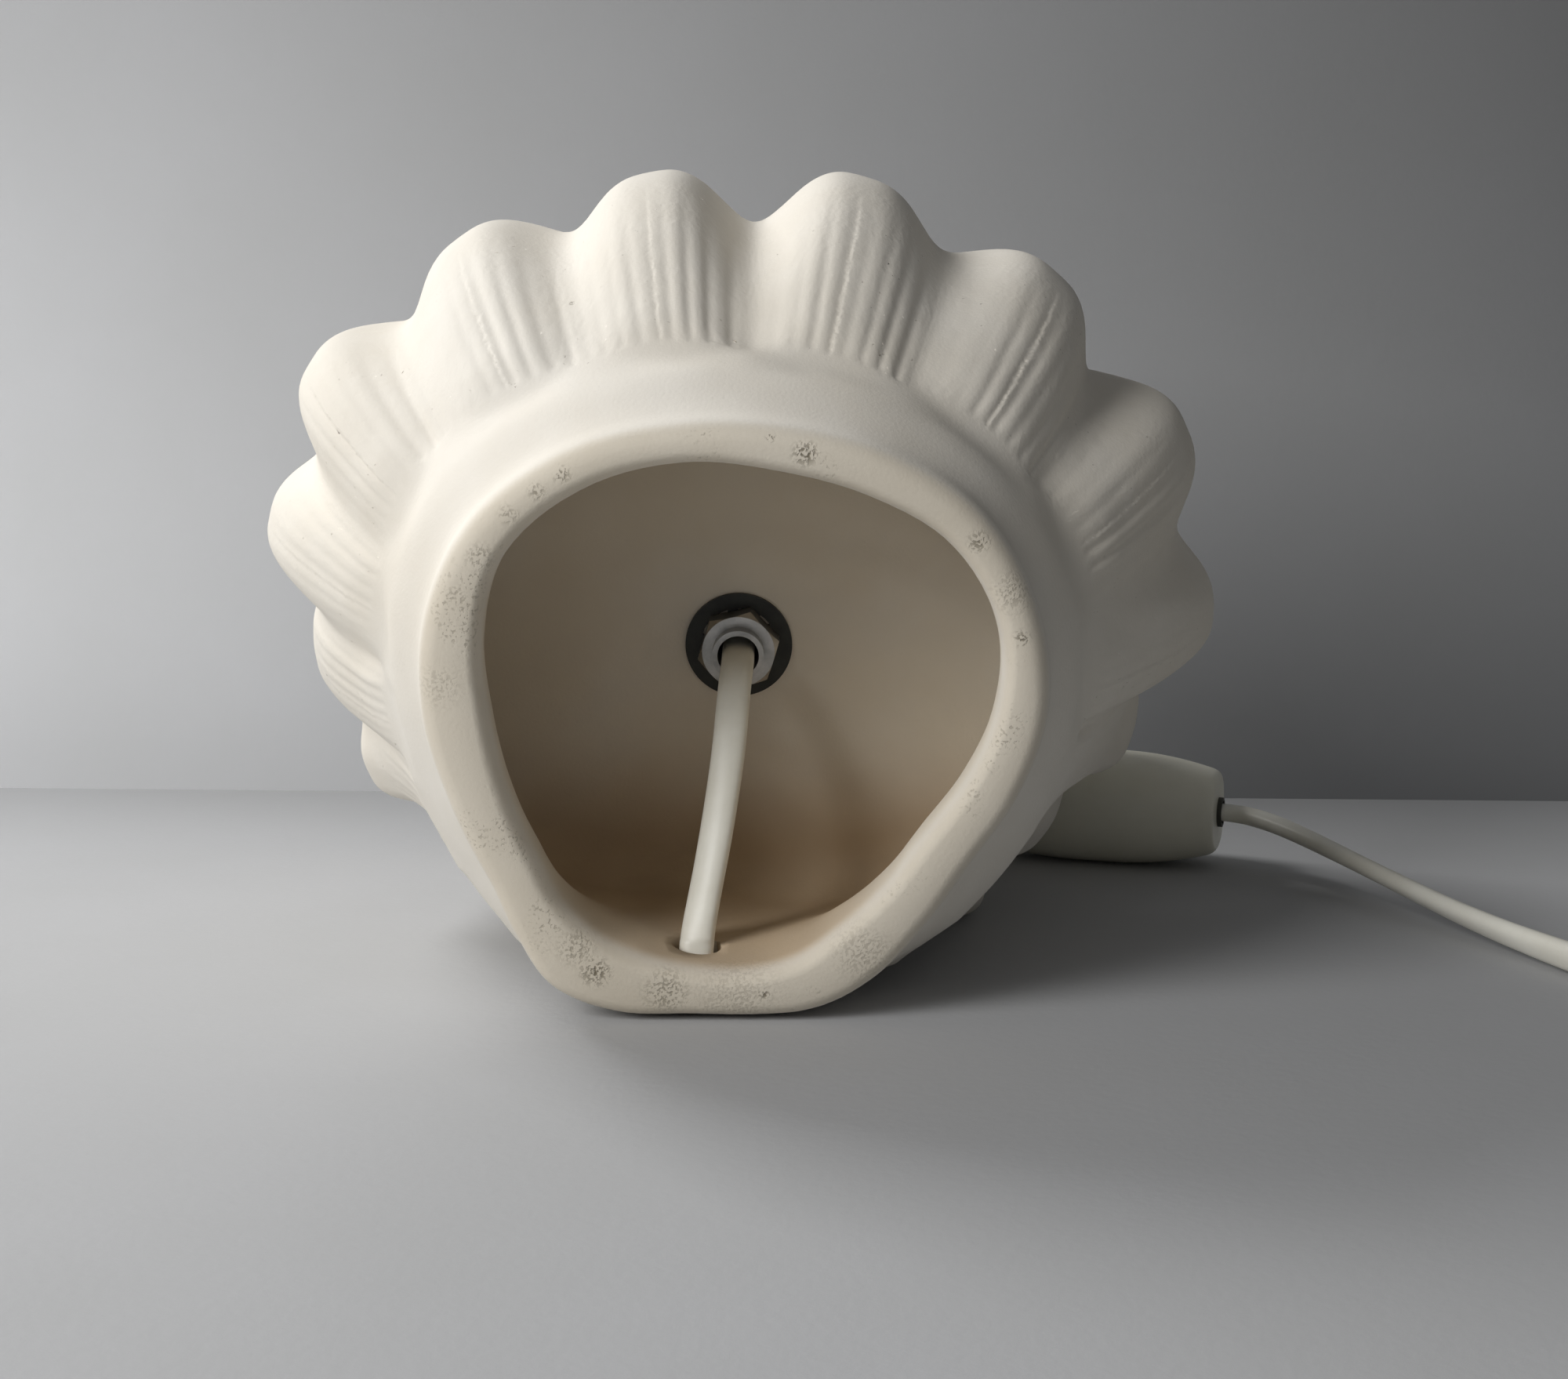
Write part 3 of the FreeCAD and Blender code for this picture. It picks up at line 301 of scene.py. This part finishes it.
mains_route = [
    (switch_point(0.0120, 0, SWITCH_MID), 0),
    (switch_point(0.0215, 0, SWITCH_MID), 0),
    (switch_point(0.0324, 0.00012, SWITCH_MID), 0),
    ((0.1192, 0.0482, 0.0120), 6),
    ((0.1249, 0.0383, 0.0105), 15),
    ((0.1316, 0.0242, 0.0085), 24),
    ((0.1386, 0.0076, 0.0065), 32),
    ((0.1447, -0.0080, 0.0050), 42),
    ((0.1516, -0.0254, 0.0041), 55),
    (tuple(COIL_ENTRY - coil_way * 0.018 + Vector((0, 0, COIL_LOW))), 75),
    (tuple(COIL_ENTRY - coil_way * 0.006 + Vector((0, 0, COIL_LOW))), 88),
]
for k in range(1, int(COIL_END_TURN * COIL_STEPS) + 1):
    mains_route.append((tuple(coil_point((k - 0.5) / COIL_STEPS, 1 / cos(pi / COIL_STEPS))), 90))
mains_route += [
    (after_coil(0.003, coil_top.z), 90),
    (after_coil(0.015, coil_top.z), 75),
    (after_coil(0.026, 0.0082), 35),
    (after_coil(0.037, 0.0070), 5),
    (after_coil(0.048, 0.0070), 0),
]

mains_flex, mains_line = flat_cord("mains_flex", mains_route)
mains_flex.data.materials.append(cord_plastic)
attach(mains_flex, "lamp")
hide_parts("mains_cord", "mains_coil", "plug_cord")


# ---------------------------------------------------------------- ceramic shell
# Slip-cast white ware, fired once and left unglazed, so it is matt and faintly warm. The mould cut
# fine lengthwise lines into the ribs, deepest on each rib's clockwise side. The foot's rim is worn,
# chipped and stained, and the hollow carries painted shade, a warm darkening towards its lower wall
# and its corner with the partition.

FOOT_AT = Vector((0.0, -0.0746, 0.04924))
LEAN_BACK = radians(10.0)
UPWARDS = Vector((0.0, -sin(LEAN_BACK), cos(LEAN_BACK)))
LENGTHWISE = Vector((0.0, cos(LEAN_BACK), sin(LEAN_BACK)))
RIB_CRESTS = (-86, -70, -53, -36, -17.5, 2.5, 25.5, 49, 75, 100.5,
              124, 147, 165, 183.5, 202.5, 219.5, 236, 252, 274)
LINES_PER_RIB = 8.5
LINE_DEPTH = 0.00036
DEEP_LINES = (20.0, 160.0)
FAINT_SHARE = 0.55
COLLAR_END = 0.0262
LINES_FADE = (0.036, 0.058)
LINES_END = 0.066
LINE_MESH = 0.00045
OUTER_LEAST = 0.036
FACES_OUT = 0.25


def step(value, low, high):
    """A soft step from 0 to 1 between two limits, which may run downwards."""
    share = min(max((value - low) / (high - low), 0.0), 1.0)
    return share * share * (3 - 2 * share)


def lamp_place_of(point):
    """Angle round the lamp's axis in degrees, height from the foot, and distance from the axis."""
    arm = point - FOOT_AT
    up = arm.dot(UPWARDS)
    return degrees(atan2(up, arm.x)), arm.dot(LENGTHWISE), sqrt(arm.x * arm.x + up * up)


def line_depth(around, along):
    """How deep the mould's lengthwise lines cut into the ribs at a place."""
    if around < RIB_CRESTS[0]:
        around += 360.0
    k = max(j for j, crest in enumerate(RIB_CRESTS[:-1]) if crest <= around)
    span = RIB_CRESTS[k + 1] - RIB_CRESTS[k]
    share = (around - RIB_CRESTS[k]) / span
    upper = 1.0 if DEEP_LINES[0] < around < DEEP_LINES[1] else FAINT_SHARE
    if share < 0.5:
        side = 1.0 - 0.8 * step(share, 0.02, 0.30)
    else:
        side = 0.2 + 0.8 * step(share, 0.42, 0.60)
    wander = 0.5 * sin(0.35 * around + 2.0 * k) + 0.2 * sin(0.5 * around + 55.0 * along)
    groove = 0.5 + 0.5 * cos(2 * pi * LINES_PER_RIB * share + wander)
    uneven = 0.75 + 0.25 * sin(0.4 * around + k)
    begin = step(along, COLLAR_END, COLLAR_END + 0.0014)
    fade = 1.0 - 0.6 * step(along, *LINES_FADE)
    end = 1.0 - step(along, LINES_FADE[1] - 0.006, LINES_END - 0.001)
    return LINE_DEPTH * groove ** 1.4 * uneven * side * upper * begin * fade * end


shell_data = bpy.data.meshes.new("fluted_shell")
skin = bmesh.new()
skin.from_mesh(nodes["ceramic_shell"].data)
bmesh.ops.remove_doubles(skin, verts=skin.verts, dist=1e-6)
skin.normal_update()


def lined(vertex):
    """Whether a point of the skin is on the outside of the ribs, where the lines are."""
    around, along, out = lamp_place_of(vertex.co)
    if not COLLAR_END - 0.001 < along < LINES_END or out < OUTER_LEAST:
        return False
    arm = (vertex.co - FOOT_AT) - LENGTHWISE * along
    return vertex.normal.dot(arm) > FACES_OUT * out


def sideways(edge):
    """How far an edge goes round the lamp."""
    ends = [lamp_place_of(v.co) for v in edge.verts]
    turn = (ends[0][0] - ends[1][0] + 180.0) % 360.0 - 180.0
    return abs(radians(turn)) * min(ends[0][2], ends[1][2])


HALVINGS = 3
for _ in range(HALVINGS):
    on_ribs = {v for v in skin.verts if lined(v)}
    wide = [e for e in skin.edges
            if e.verts[0] in on_ribs and e.verts[1] in on_ribs and sideways(e) > LINE_MESH]
    bmesh.ops.subdivide_edges(skin, edges=wide, cuts=1)
    bmesh.ops.triangulate(skin, faces=[f for f in skin.faces if len(f.verts) > 3])
    skin.normal_update()
moves = []
for vertex in skin.verts:
    if lined(vertex):
        around, along, _ = lamp_place_of(vertex.co)
        moves.append((vertex, vertex.normal * line_depth(around, along)))
for vertex, shift in moves:
    vertex.co -= shift
for face in skin.faces:
    face.smooth = True
skin.to_mesh(shell_data)
skin.free()
shell_data.set_sharp_from_angle(angle=radians(38))
fluted_shell = bpy.data.objects.new("fluted_shell", shell_data)
bpy.context.collection.objects.link(fluted_shell)
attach(fluted_shell, "lamp")
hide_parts("ceramic_shell")


def lamp_place_group():
    """Where a point is along, above and away from the lamp's axis, and 1 where a wall faces it."""
    group = bpy.data.node_groups.new("lamp_place", "ShaderNodeTree")
    for label in ("Along", "Up", "Out", "Inside"):
        group.interface.new_socket(label, in_out="OUTPUT", socket_type="NodeSocketFloat")
    tree, link = group.nodes, group.links.new
    leave = tree.new("NodeGroupOutput")
    place = tree.new("ShaderNodeTexCoord")
    shift = tree.new("ShaderNodeVectorMath")
    shift.operation = "SUBTRACT"
    shift.inputs[1].default_value = FOOT_AT
    turned = {}
    for label in ("place", "facing"):
        turned[label] = tree.new("ShaderNodeVectorRotate")
        turned[label].rotation_type = "X_AXIS"
        turned[label].inputs["Angle"].default_value = -LEAN_BACK
    parts = tree.new("ShaderNodeSeparateXYZ")
    across = tree.new("ShaderNodeCombineXYZ")
    against = tree.new("ShaderNodeVectorMath")
    against.operation = "DOT_PRODUCT"
    inward = tree.new("ShaderNodeMath")
    inward.operation = "LESS_THAN"
    inward.inputs[1].default_value = 0.0
    reach = tree.new("ShaderNodeVectorMath")
    reach.operation = "LENGTH"
    link(place.outputs["Object"], shift.inputs[0])
    link(shift.outputs["Vector"], turned["place"].inputs["Vector"])
    link(place.outputs["Normal"], turned["facing"].inputs["Vector"])
    link(turned["place"].outputs["Vector"], parts.inputs["Vector"])
    link(parts.outputs["X"], across.inputs["X"])
    link(parts.outputs["Z"], across.inputs["Z"])
    link(across.outputs["Vector"], reach.inputs[0])
    link(across.outputs["Vector"], against.inputs[0])
    link(turned["facing"].outputs["Vector"], against.inputs[1])
    link(against.outputs["Value"], inward.inputs[0])
    link(parts.outputs["Y"], leave.inputs["Along"])
    link(parts.outputs["Z"], leave.inputs["Up"])
    link(inward.outputs["Value"], leave.inputs["Inside"])
    link(reach.outputs["Value"], leave.inputs["Out"])
    return group


BISQUE_LIGHT = (0.83, 0.785, 0.705)
BISQUE_DARK = (0.76, 0.705, 0.61)
BISQUE_SPOTS = (0.24, 0.22, 0.17)
# tone of the painted shade down the hollow's lower wall
HOLLOW_SHADE = (0.68, 0.57, 0.45)
bisque = plain_finish("bisque", BISQUE_LIGHT, BISQUE_DARK, 0.80, 1500.0, 16.0, 0.00005)
tree, link = bisque.node_tree.nodes, bisque.node_tree.links.new


def node(kind, **settings):
    """A node of the ceramic, with its settings."""
    made = tree.new(kind)
    for key, value in settings.items():
        setattr(made, key, value)
    return made


def ramp(value, low, high, to_low=0.0, to_high=1.0):
    """A soft step of a value between two limits."""
    made = node("ShaderNodeMapRange", interpolation_type="SMOOTHSTEP")
    for label, limit in zip(("From Min", "From Max", "To Min", "To Max"), (low, high, to_low, to_high)):
        made.inputs[label].default_value = limit
    link(value, made.inputs["Value"])
    return made.outputs["Result"]


def combine(operation, a, b):
    """Two values or outputs combined into one."""
    made = node("ShaderNodeMath", operation=operation)
    for slot, value in zip(made.inputs, (a, b)):
        if isinstance(value, (int, float)):
            slot.default_value = value
        else:
            link(value, slot)
    return made.outputs["Value"]


def stain_and_shade(colour, mask, tone, mode="MULTIPLY"):
    """Lay a tone over a colour where a mask is on; it serves both real stains and painted shade."""
    made = node("ShaderNodeMix", data_type="RGBA", blend_type=mode)
    link(mask, made.inputs["Factor"])
    link(colour, made.inputs["A"])
    made.inputs["B"].default_value = (*tone, 1)
    return made.outputs["Result"]


where = node("ShaderNodeGroup", node_tree=lamp_place_group())
along, up, out, inside = (where.outputs[k] for k in ("Along", "Up", "Out", "Inside"))
place = node("ShaderNodeTexCoord")


def noise(scale):
    """Random unevenness of the ceramic at a scale."""
    made = node("ShaderNodeTexNoise")
    made.inputs["Scale"].default_value = scale
    made.inputs["Detail"].default_value = 3.0
    link(place.outputs["Object"], made.inputs["Vector"])
    return made.outputs["Fac"]


# painted shade in the hollow: a warm, cloudy darkening that grows towards its lower wall and its corner
# with the partition
partition = combine("MULTIPLY", ramp(along, 0.0560, 0.0600), ramp(out, 0.0550, 0.0535))
hollow = combine("MULTIPLY", ramp(along, 0.0645, 0.0638), combine("MAXIMUM", inside, partition))
hollow = combine("MULTIPLY", hollow, ramp(along, 0.0005, 0.0060))
cloudy = ramp(noise(22.0), *CLOUD_EDGES, 0.35, 1.0)
colour = stain_and_shade(tree["Mix"].outputs["Result"], combine("MULTIPLY", hollow, cloudy), (0.97, 0.93, 0.86))
colour = stain_and_shade(colour, combine("MULTIPLY", hollow, ramp(up, -0.016, -0.046)), HOLLOW_SHADE)

# the rim's crest is yellowed all round, with grey dirt in its pores
crest = ramp(along, 0.0030, 0.0006)
colour = stain_and_shade(colour, combine("MULTIPLY", crest, 0.55), (0.86, 0.80, 0.69))
pores = noise(1700.0)
patches = noise(70.0)
specks = combine("MULTIPLY", ramp(pores, 0.56, 0.66), ramp(patches, 0.52, 0.66))
dirt = combine("MULTIPLY", combine("MULTIPLY", specks, ramp(along, 0.0022, 0.0004)), 0.35)

# larger scuffs: where each is, its reach, how strong it is
SCUFFS = (
    ((0.0123, -0.0835, 0.0996), 0.0030, 1.0),
    ((0.0067, -0.0836, 0.1022), 0.0012, 0.7),
    ((-0.0269, -0.0829, 0.0963), 0.0022, 0.7),
    ((-0.0310, -0.0824, 0.0935), 0.0022, 0.6),
    ((-0.0358, -0.0817, 0.0897), 0.0026, 0.45),
    ((-0.0407, -0.0805, 0.0827), 0.0034, 0.5),
    ((-0.0450, -0.0794, 0.0763), 0.0026, 0.4),
    ((-0.0484, -0.0767, 0.0610), 0.0060, 0.25),
    ((0.0405, -0.0809, 0.0852), 0.0028, 0.7),
    ((0.0463, -0.0794, 0.0767), 0.0055, 0.35),
    ((0.0481, -0.0781, 0.0691), 0.0022, 0.8),
    ((-0.0238, -0.0676, 0.0096), 0.0040, 0.9),
    ((-0.0271, -0.0684, 0.0140), 0.0050, 0.5),
    ((-0.0117, -0.0670, 0.0059), 0.0060, 0.6),
    ((0.0054, -0.0669, 0.0055), 0.0016, 0.9),
    ((0.0010, -0.0668, 0.0050), 0.0120, 0.25),
    ((0.0224, -0.0683, 0.0133), 0.0080, 0.3),
    ((-0.0284, -0.0460, 0.1246), 0.0008, 0.8),
)
for centre, reach, strength in SCUFFS:
    gap = node("ShaderNodeVectorMath", operation="DISTANCE")
    gap.inputs[1].default_value = centre
    link(place.outputs["Object"], gap.inputs[0])
    spot = combine("MULTIPLY", ramp(gap.outputs["Value"], reach, 0.0), ramp(pores, 0.46, 0.60))
    dirt = combine("MAXIMUM", dirt, combine("MULTIPLY", spot, strength))
colour = stain_and_shade(colour, dirt, BISQUE_SPOTS)
link(colour, tree["Principled BSDF"].inputs["Base Color"])

# chips and pores are a little sunken, and shallow throwing rings show on the partition wall
rings = node("ShaderNodeTexWave", wave_type="RINGS", rings_direction="Y")
rings.inputs["Scale"].default_value = 26.0
rings.inputs["Distortion"].default_value = 2.5
rings.inputs["Detail"].default_value = 1.0
link(place.outputs["Object"], rings.inputs["Vector"])
ring_bump = node("ShaderNodeBump")
ring_bump.inputs["Distance"].default_value = 0.00035
link(combine("MULTIPLY", rings.outputs["Fac"], hollow), ring_bump.inputs["Height"])
chip_bump = node("ShaderNodeBump", invert=True)
chip_bump.inputs["Distance"].default_value = 0.00015
link(dirt, chip_bump.inputs["Height"])
link(ring_bump.outputs["Normal"], chip_bump.inputs["Normal"])
link(chip_bump.outputs["Normal"], tree["Bump"].inputs["Normal"])
shell_data.materials.append(bisque)

# ---------------------------------------------------------------- threaded tube, nut and washers
# A zinc-plated M10 lamp tube holds the lampholder to the shell. A hexagon nut and a blackened
# tooth washer clamp it in the foot. The small steel pieces of the switch have the same plating.


def finish(material, *names):
    """Give pieces their material."""
    for name in names:
        nodes[name].material_slots[0].material = material


zinc = plain_finish("zinc", (0.56, 0.55, 0.53), (0.34, 0.34, 0.33), 0.38, 1800.0, 180.0, 0.00003, 1.0)
blackened = plain_finish(
    "blackened_steel", (0.030, 0.031, 0.026), (0.014, 0.014, 0.012), 0.45, 1500.0, 200.0, 0.00003, 0.3)
finish(zinc, "threaded_tube", "hex_nut", "seat_washer", "rocker_pin", "switch_screws")
finish(blackened, "tooth_washer")

# ---------------------------------------------------------------- lampholder
# Black moulded plastic in two halves, with a white insulating disc and a brass screw shell. Its
# screws and contacts are brass too, as are the switch's.

holder_plastic = plain_finish(
    "holder_plastic", (0.035, 0.034, 0.033), (0.022, 0.021, 0.020), 0.4, 900.0, 60.0, 0.00002)
white_insulator = plain_finish("white_insulator", (0.80, 0.79, 0.75), (0.72, 0.70, 0.65), 0.6)
brass = plain_finish("brass", (0.72, 0.52, 0.22), (0.50, 0.34, 0.13), 0.35, 1500.0, 150.0, 0.00003, 1.0)
finish(holder_plastic, "holder_cap", "holder_body")
finish(white_insulator, "holder_insert")
finish(brass, "terminal_screws", "screw_shell", "centre_contact", "switch_terminals", "switch_contact")

# ---------------------------------------------------------------- bulb
# A small clear bulb with an aluminium screw cap, a black glass insulator and a soldered tip. It
# screws into the holder.

aluminium = plain_finish(
    "bulb_aluminium", (0.72, 0.72, 0.71), (0.55, 0.55, 0.54), 0.3, 1500.0, 150.0, 0.00002, 1.0)
black_glass = plain_finish(
    "black_glass", (0.02, 0.02, 0.02), (0.012, 0.012, 0.012), 0.15, 900.0, 80.0, 0.00001)
clear_glass = plain_finish(
    "clear_glass", (0.96, 0.96, 0.94), (0.93, 0.93, 0.91), 0.03, 400.0, 40.0, 0.00001)
clear_shader = clear_glass.node_tree.nodes["Principled BSDF"]
clear_shader.inputs["Transmission Weight"].default_value = 1.0
clear_shader.inputs["IOR"].default_value = 1.48
finish(aluminium, "bulb_cap")
finish(zinc, "bulb_tip")
finish(black_glass, "bulb_insulator")
finish(clear_glass, "bulb_glass")

# ---------------------------------------------------------------- in-line switch
# Two barrel-shaped halves of glossy plastic, yellowed from white to cream, screwed together round
# the cord, with a rocker in the top and a collar round each cord entry, whose near-black colour is
# painted shade of the hole where the cord goes in.

switch_plastic = plain_finish(
    "switch_plastic", (0.86, 0.84, 0.72), (0.80, 0.77, 0.64), 0.36, 700.0, 45.0, 0.00002)
# the collars' near-black is painted shade where the cord goes into the switch
entry_collar_shade = plain_finish("entry_collar_shade", (0.09, 0.09, 0.075), (0.05, 0.05, 0.04), 0.6)
finish(switch_plastic, "switch_base", "switch_cover", "switch_rocker")
finish(entry_collar_shade, "cord_grommets")

# ---------------------------------------------------------------- strap and plug
# A white strap holds the coil. The plug is a flat two-pin one, moulded on the cord, with a ribbed
# sleeve behind it and nickel-plated pins.

strap_plastic = plain_finish("strap_plastic", (0.82, 0.82, 0.80), (0.74, 0.74, 0.72), 0.5)
plug_plastic = plain_finish(
    "plug_plastic", (0.86, 0.83, 0.73), (0.80, 0.76, 0.65), 0.45, 700.0, 50.0, 0.00003)
nickel = plain_finish(
    "nickel", (0.74, 0.72, 0.68), (0.60, 0.58, 0.54), 0.22, 1800.0, 200.0, 0.00002, 1.0)
finish(strap_plastic, "coil_tie")
finish(plug_plastic, "plug_sleeve", "plug_body")
finish(nickel, "plug_pins")

# ---------------------------------------------------------------- table, backdrop and light
# Grey card on the table and behind it, its colour painted darker to the right and up the back card as
# painted shade. The light comes from a window high on the left, from a little behind the lamp to well
# in front of it, and the room to the right is dark.

CARD_REACH = 2.0
CARD_TOP = 0.25
FOLD_LEFT = 0.233
FOLD_RIGHT = 0.0555
BACK_LEFT = 0.26
BACK_RIGHT = 0.17


def grey_card(name, near, far, top_shade):
    """Matt grey card with painted shade: it darkens from its near to its far place, and upwards by a
    share.
    """
    card = plain_finish(name, (0.98, 0.985, 1.0), (0.94, 0.945, 0.95), 0.9, 500.0, 9.0, 0.00006)
    tree, link = card.node_tree.nodes, card.node_tree.links.new
    shader, tint = tree["Principled BSDF"], tree["Mix"]
    place = tree.new("ShaderNodeTexCoord")
    parts = tree.new("ShaderNodeSeparateXYZ")
    link(place.outputs["Object"], parts.inputs["Vector"])
    # painted shade: the card's colour falls off across it and up it, as the window's light does
    across = tree.new("ShaderNodeMapRange")
    across.inputs["From Min"].default_value = near[0]
    across.inputs["From Max"].default_value = far[0]
    across.inputs["To Min"].default_value = near[1]
    across.inputs["To Max"].default_value = far[1]
    upwards = tree.new("ShaderNodeMapRange")
    upwards.inputs["From Max"].default_value = CARD_TOP
    upwards.inputs["To Min"].default_value = 1.0
    upwards.inputs["To Max"].default_value = top_shade
    link(parts.outputs["X"], across.inputs["Value"])
    link(parts.outputs["Z"], upwards.inputs["Value"])
    painted_falloff = tree.new("ShaderNodeMath")
    painted_falloff.operation = "MULTIPLY"
    link(across.outputs["Result"], painted_falloff.inputs[0])
    link(upwards.outputs["Result"], painted_falloff.inputs[1])
    shade = tree.new("ShaderNodeMix")
    shade.data_type = "RGBA"
    shade.blend_type = "MULTIPLY"
    shade.inputs["Factor"].default_value = 1.0
    link(tint.outputs["Result"], shade.inputs["A"])
    link(painted_falloff.outputs["Value"], shade.inputs["B"])
    link(shade.outputs["Result"], shader.inputs["Base Color"])
    # the card is left out of a picture that is taken from behind it
    side, path = tree.new("ShaderNodeNewGeometry"), tree.new("ShaderNodeLightPath")
    seen = tree.new("ShaderNodeMath")
    seen.operation = "MULTIPLY"
    link(side.outputs["Backfacing"], seen.inputs[0])
    link(path.outputs["Is Camera Ray"], seen.inputs[1])
    clear, choice = tree.new("ShaderNodeBsdfTransparent"), tree.new("ShaderNodeMixShader")
    link(seen.outputs["Value"], choice.inputs["Fac"])
    link(shader.outputs["BSDF"], choice.inputs[1])
    link(clear.outputs["BSDF"], choice.inputs[2])
    link(choice.outputs["Shader"], tree["Material Output"].inputs["Surface"])
    return card


def flat_sheet(name, corners, card):
    """A flat sheet of card between four corners."""
    data = bpy.data.meshes.new(name)
    data.from_pydata(corners, [], [(0, 1, 2, 3)])
    sheet = bpy.data.objects.new(name, data)
    sheet.data.materials.append(card)
    bpy.context.collection.objects.link(sheet)


# painted shade on both cards: darker towards the right, and the back card darker towards its top
table_card = grey_card("table_card", (-0.25, 0.54), (0.30, 0.42), 1.0)
back_card = grey_card("back_card", (-0.25, 1.0), (0.30, 0.30), 0.58)
flat_sheet("table_card", [
    (-CARD_REACH, -CARD_REACH, 0),
    (CARD_REACH, -CARD_REACH, 0),
    (CARD_REACH, FOLD_RIGHT, 0),
    (-CARD_REACH, FOLD_LEFT, 0),
], table_card)
flat_sheet("back_card", [
    (-CARD_REACH, BACK_LEFT, -1.0),
    (CARD_REACH, BACK_RIGHT, -1.0),
    (CARD_REACH, BACK_RIGHT, CARD_TOP),
    (-CARD_REACH, BACK_LEFT, CARD_TOP),
], back_card)


def soft_light(name, place, aim, size, power):
    """A square soft light at a place, turned to what it lights."""
    data = bpy.data.lights.new(name, "AREA")
    data.shape = "RECTANGLE"
    data.size, data.size_y = size, size
    data.energy = power
    lamp = bpy.data.objects.new(name, data)
    lamp.location = place
    lamp.rotation_euler = (Vector(aim) - Vector(place)).to_track_quat("-Z", "Y").to_euler()
    bpy.context.collection.objects.link(lamp)


soft_light("window", place=(-0.50, 0.36, 0.62), aim=(0.0, 0.0, 0.05), size=0.30, power=4.2)
soft_light("window_front", place=(-0.62, -0.62, 0.52), aim=(0.0, 0.0, 0.06), size=0.45, power=6.2)
world = bpy.data.worlds.new("room")
world.use_nodes = True
room_light = world.node_tree.nodes["Background"]
room_light.inputs["Color"].default_value = (0.95, 0.97, 1.0, 1)
room_light.inputs["Strength"].default_value = 0.12
bpy.context.scene.world = world
bpy.context.scene.view_settings.view_transform = "Standard"
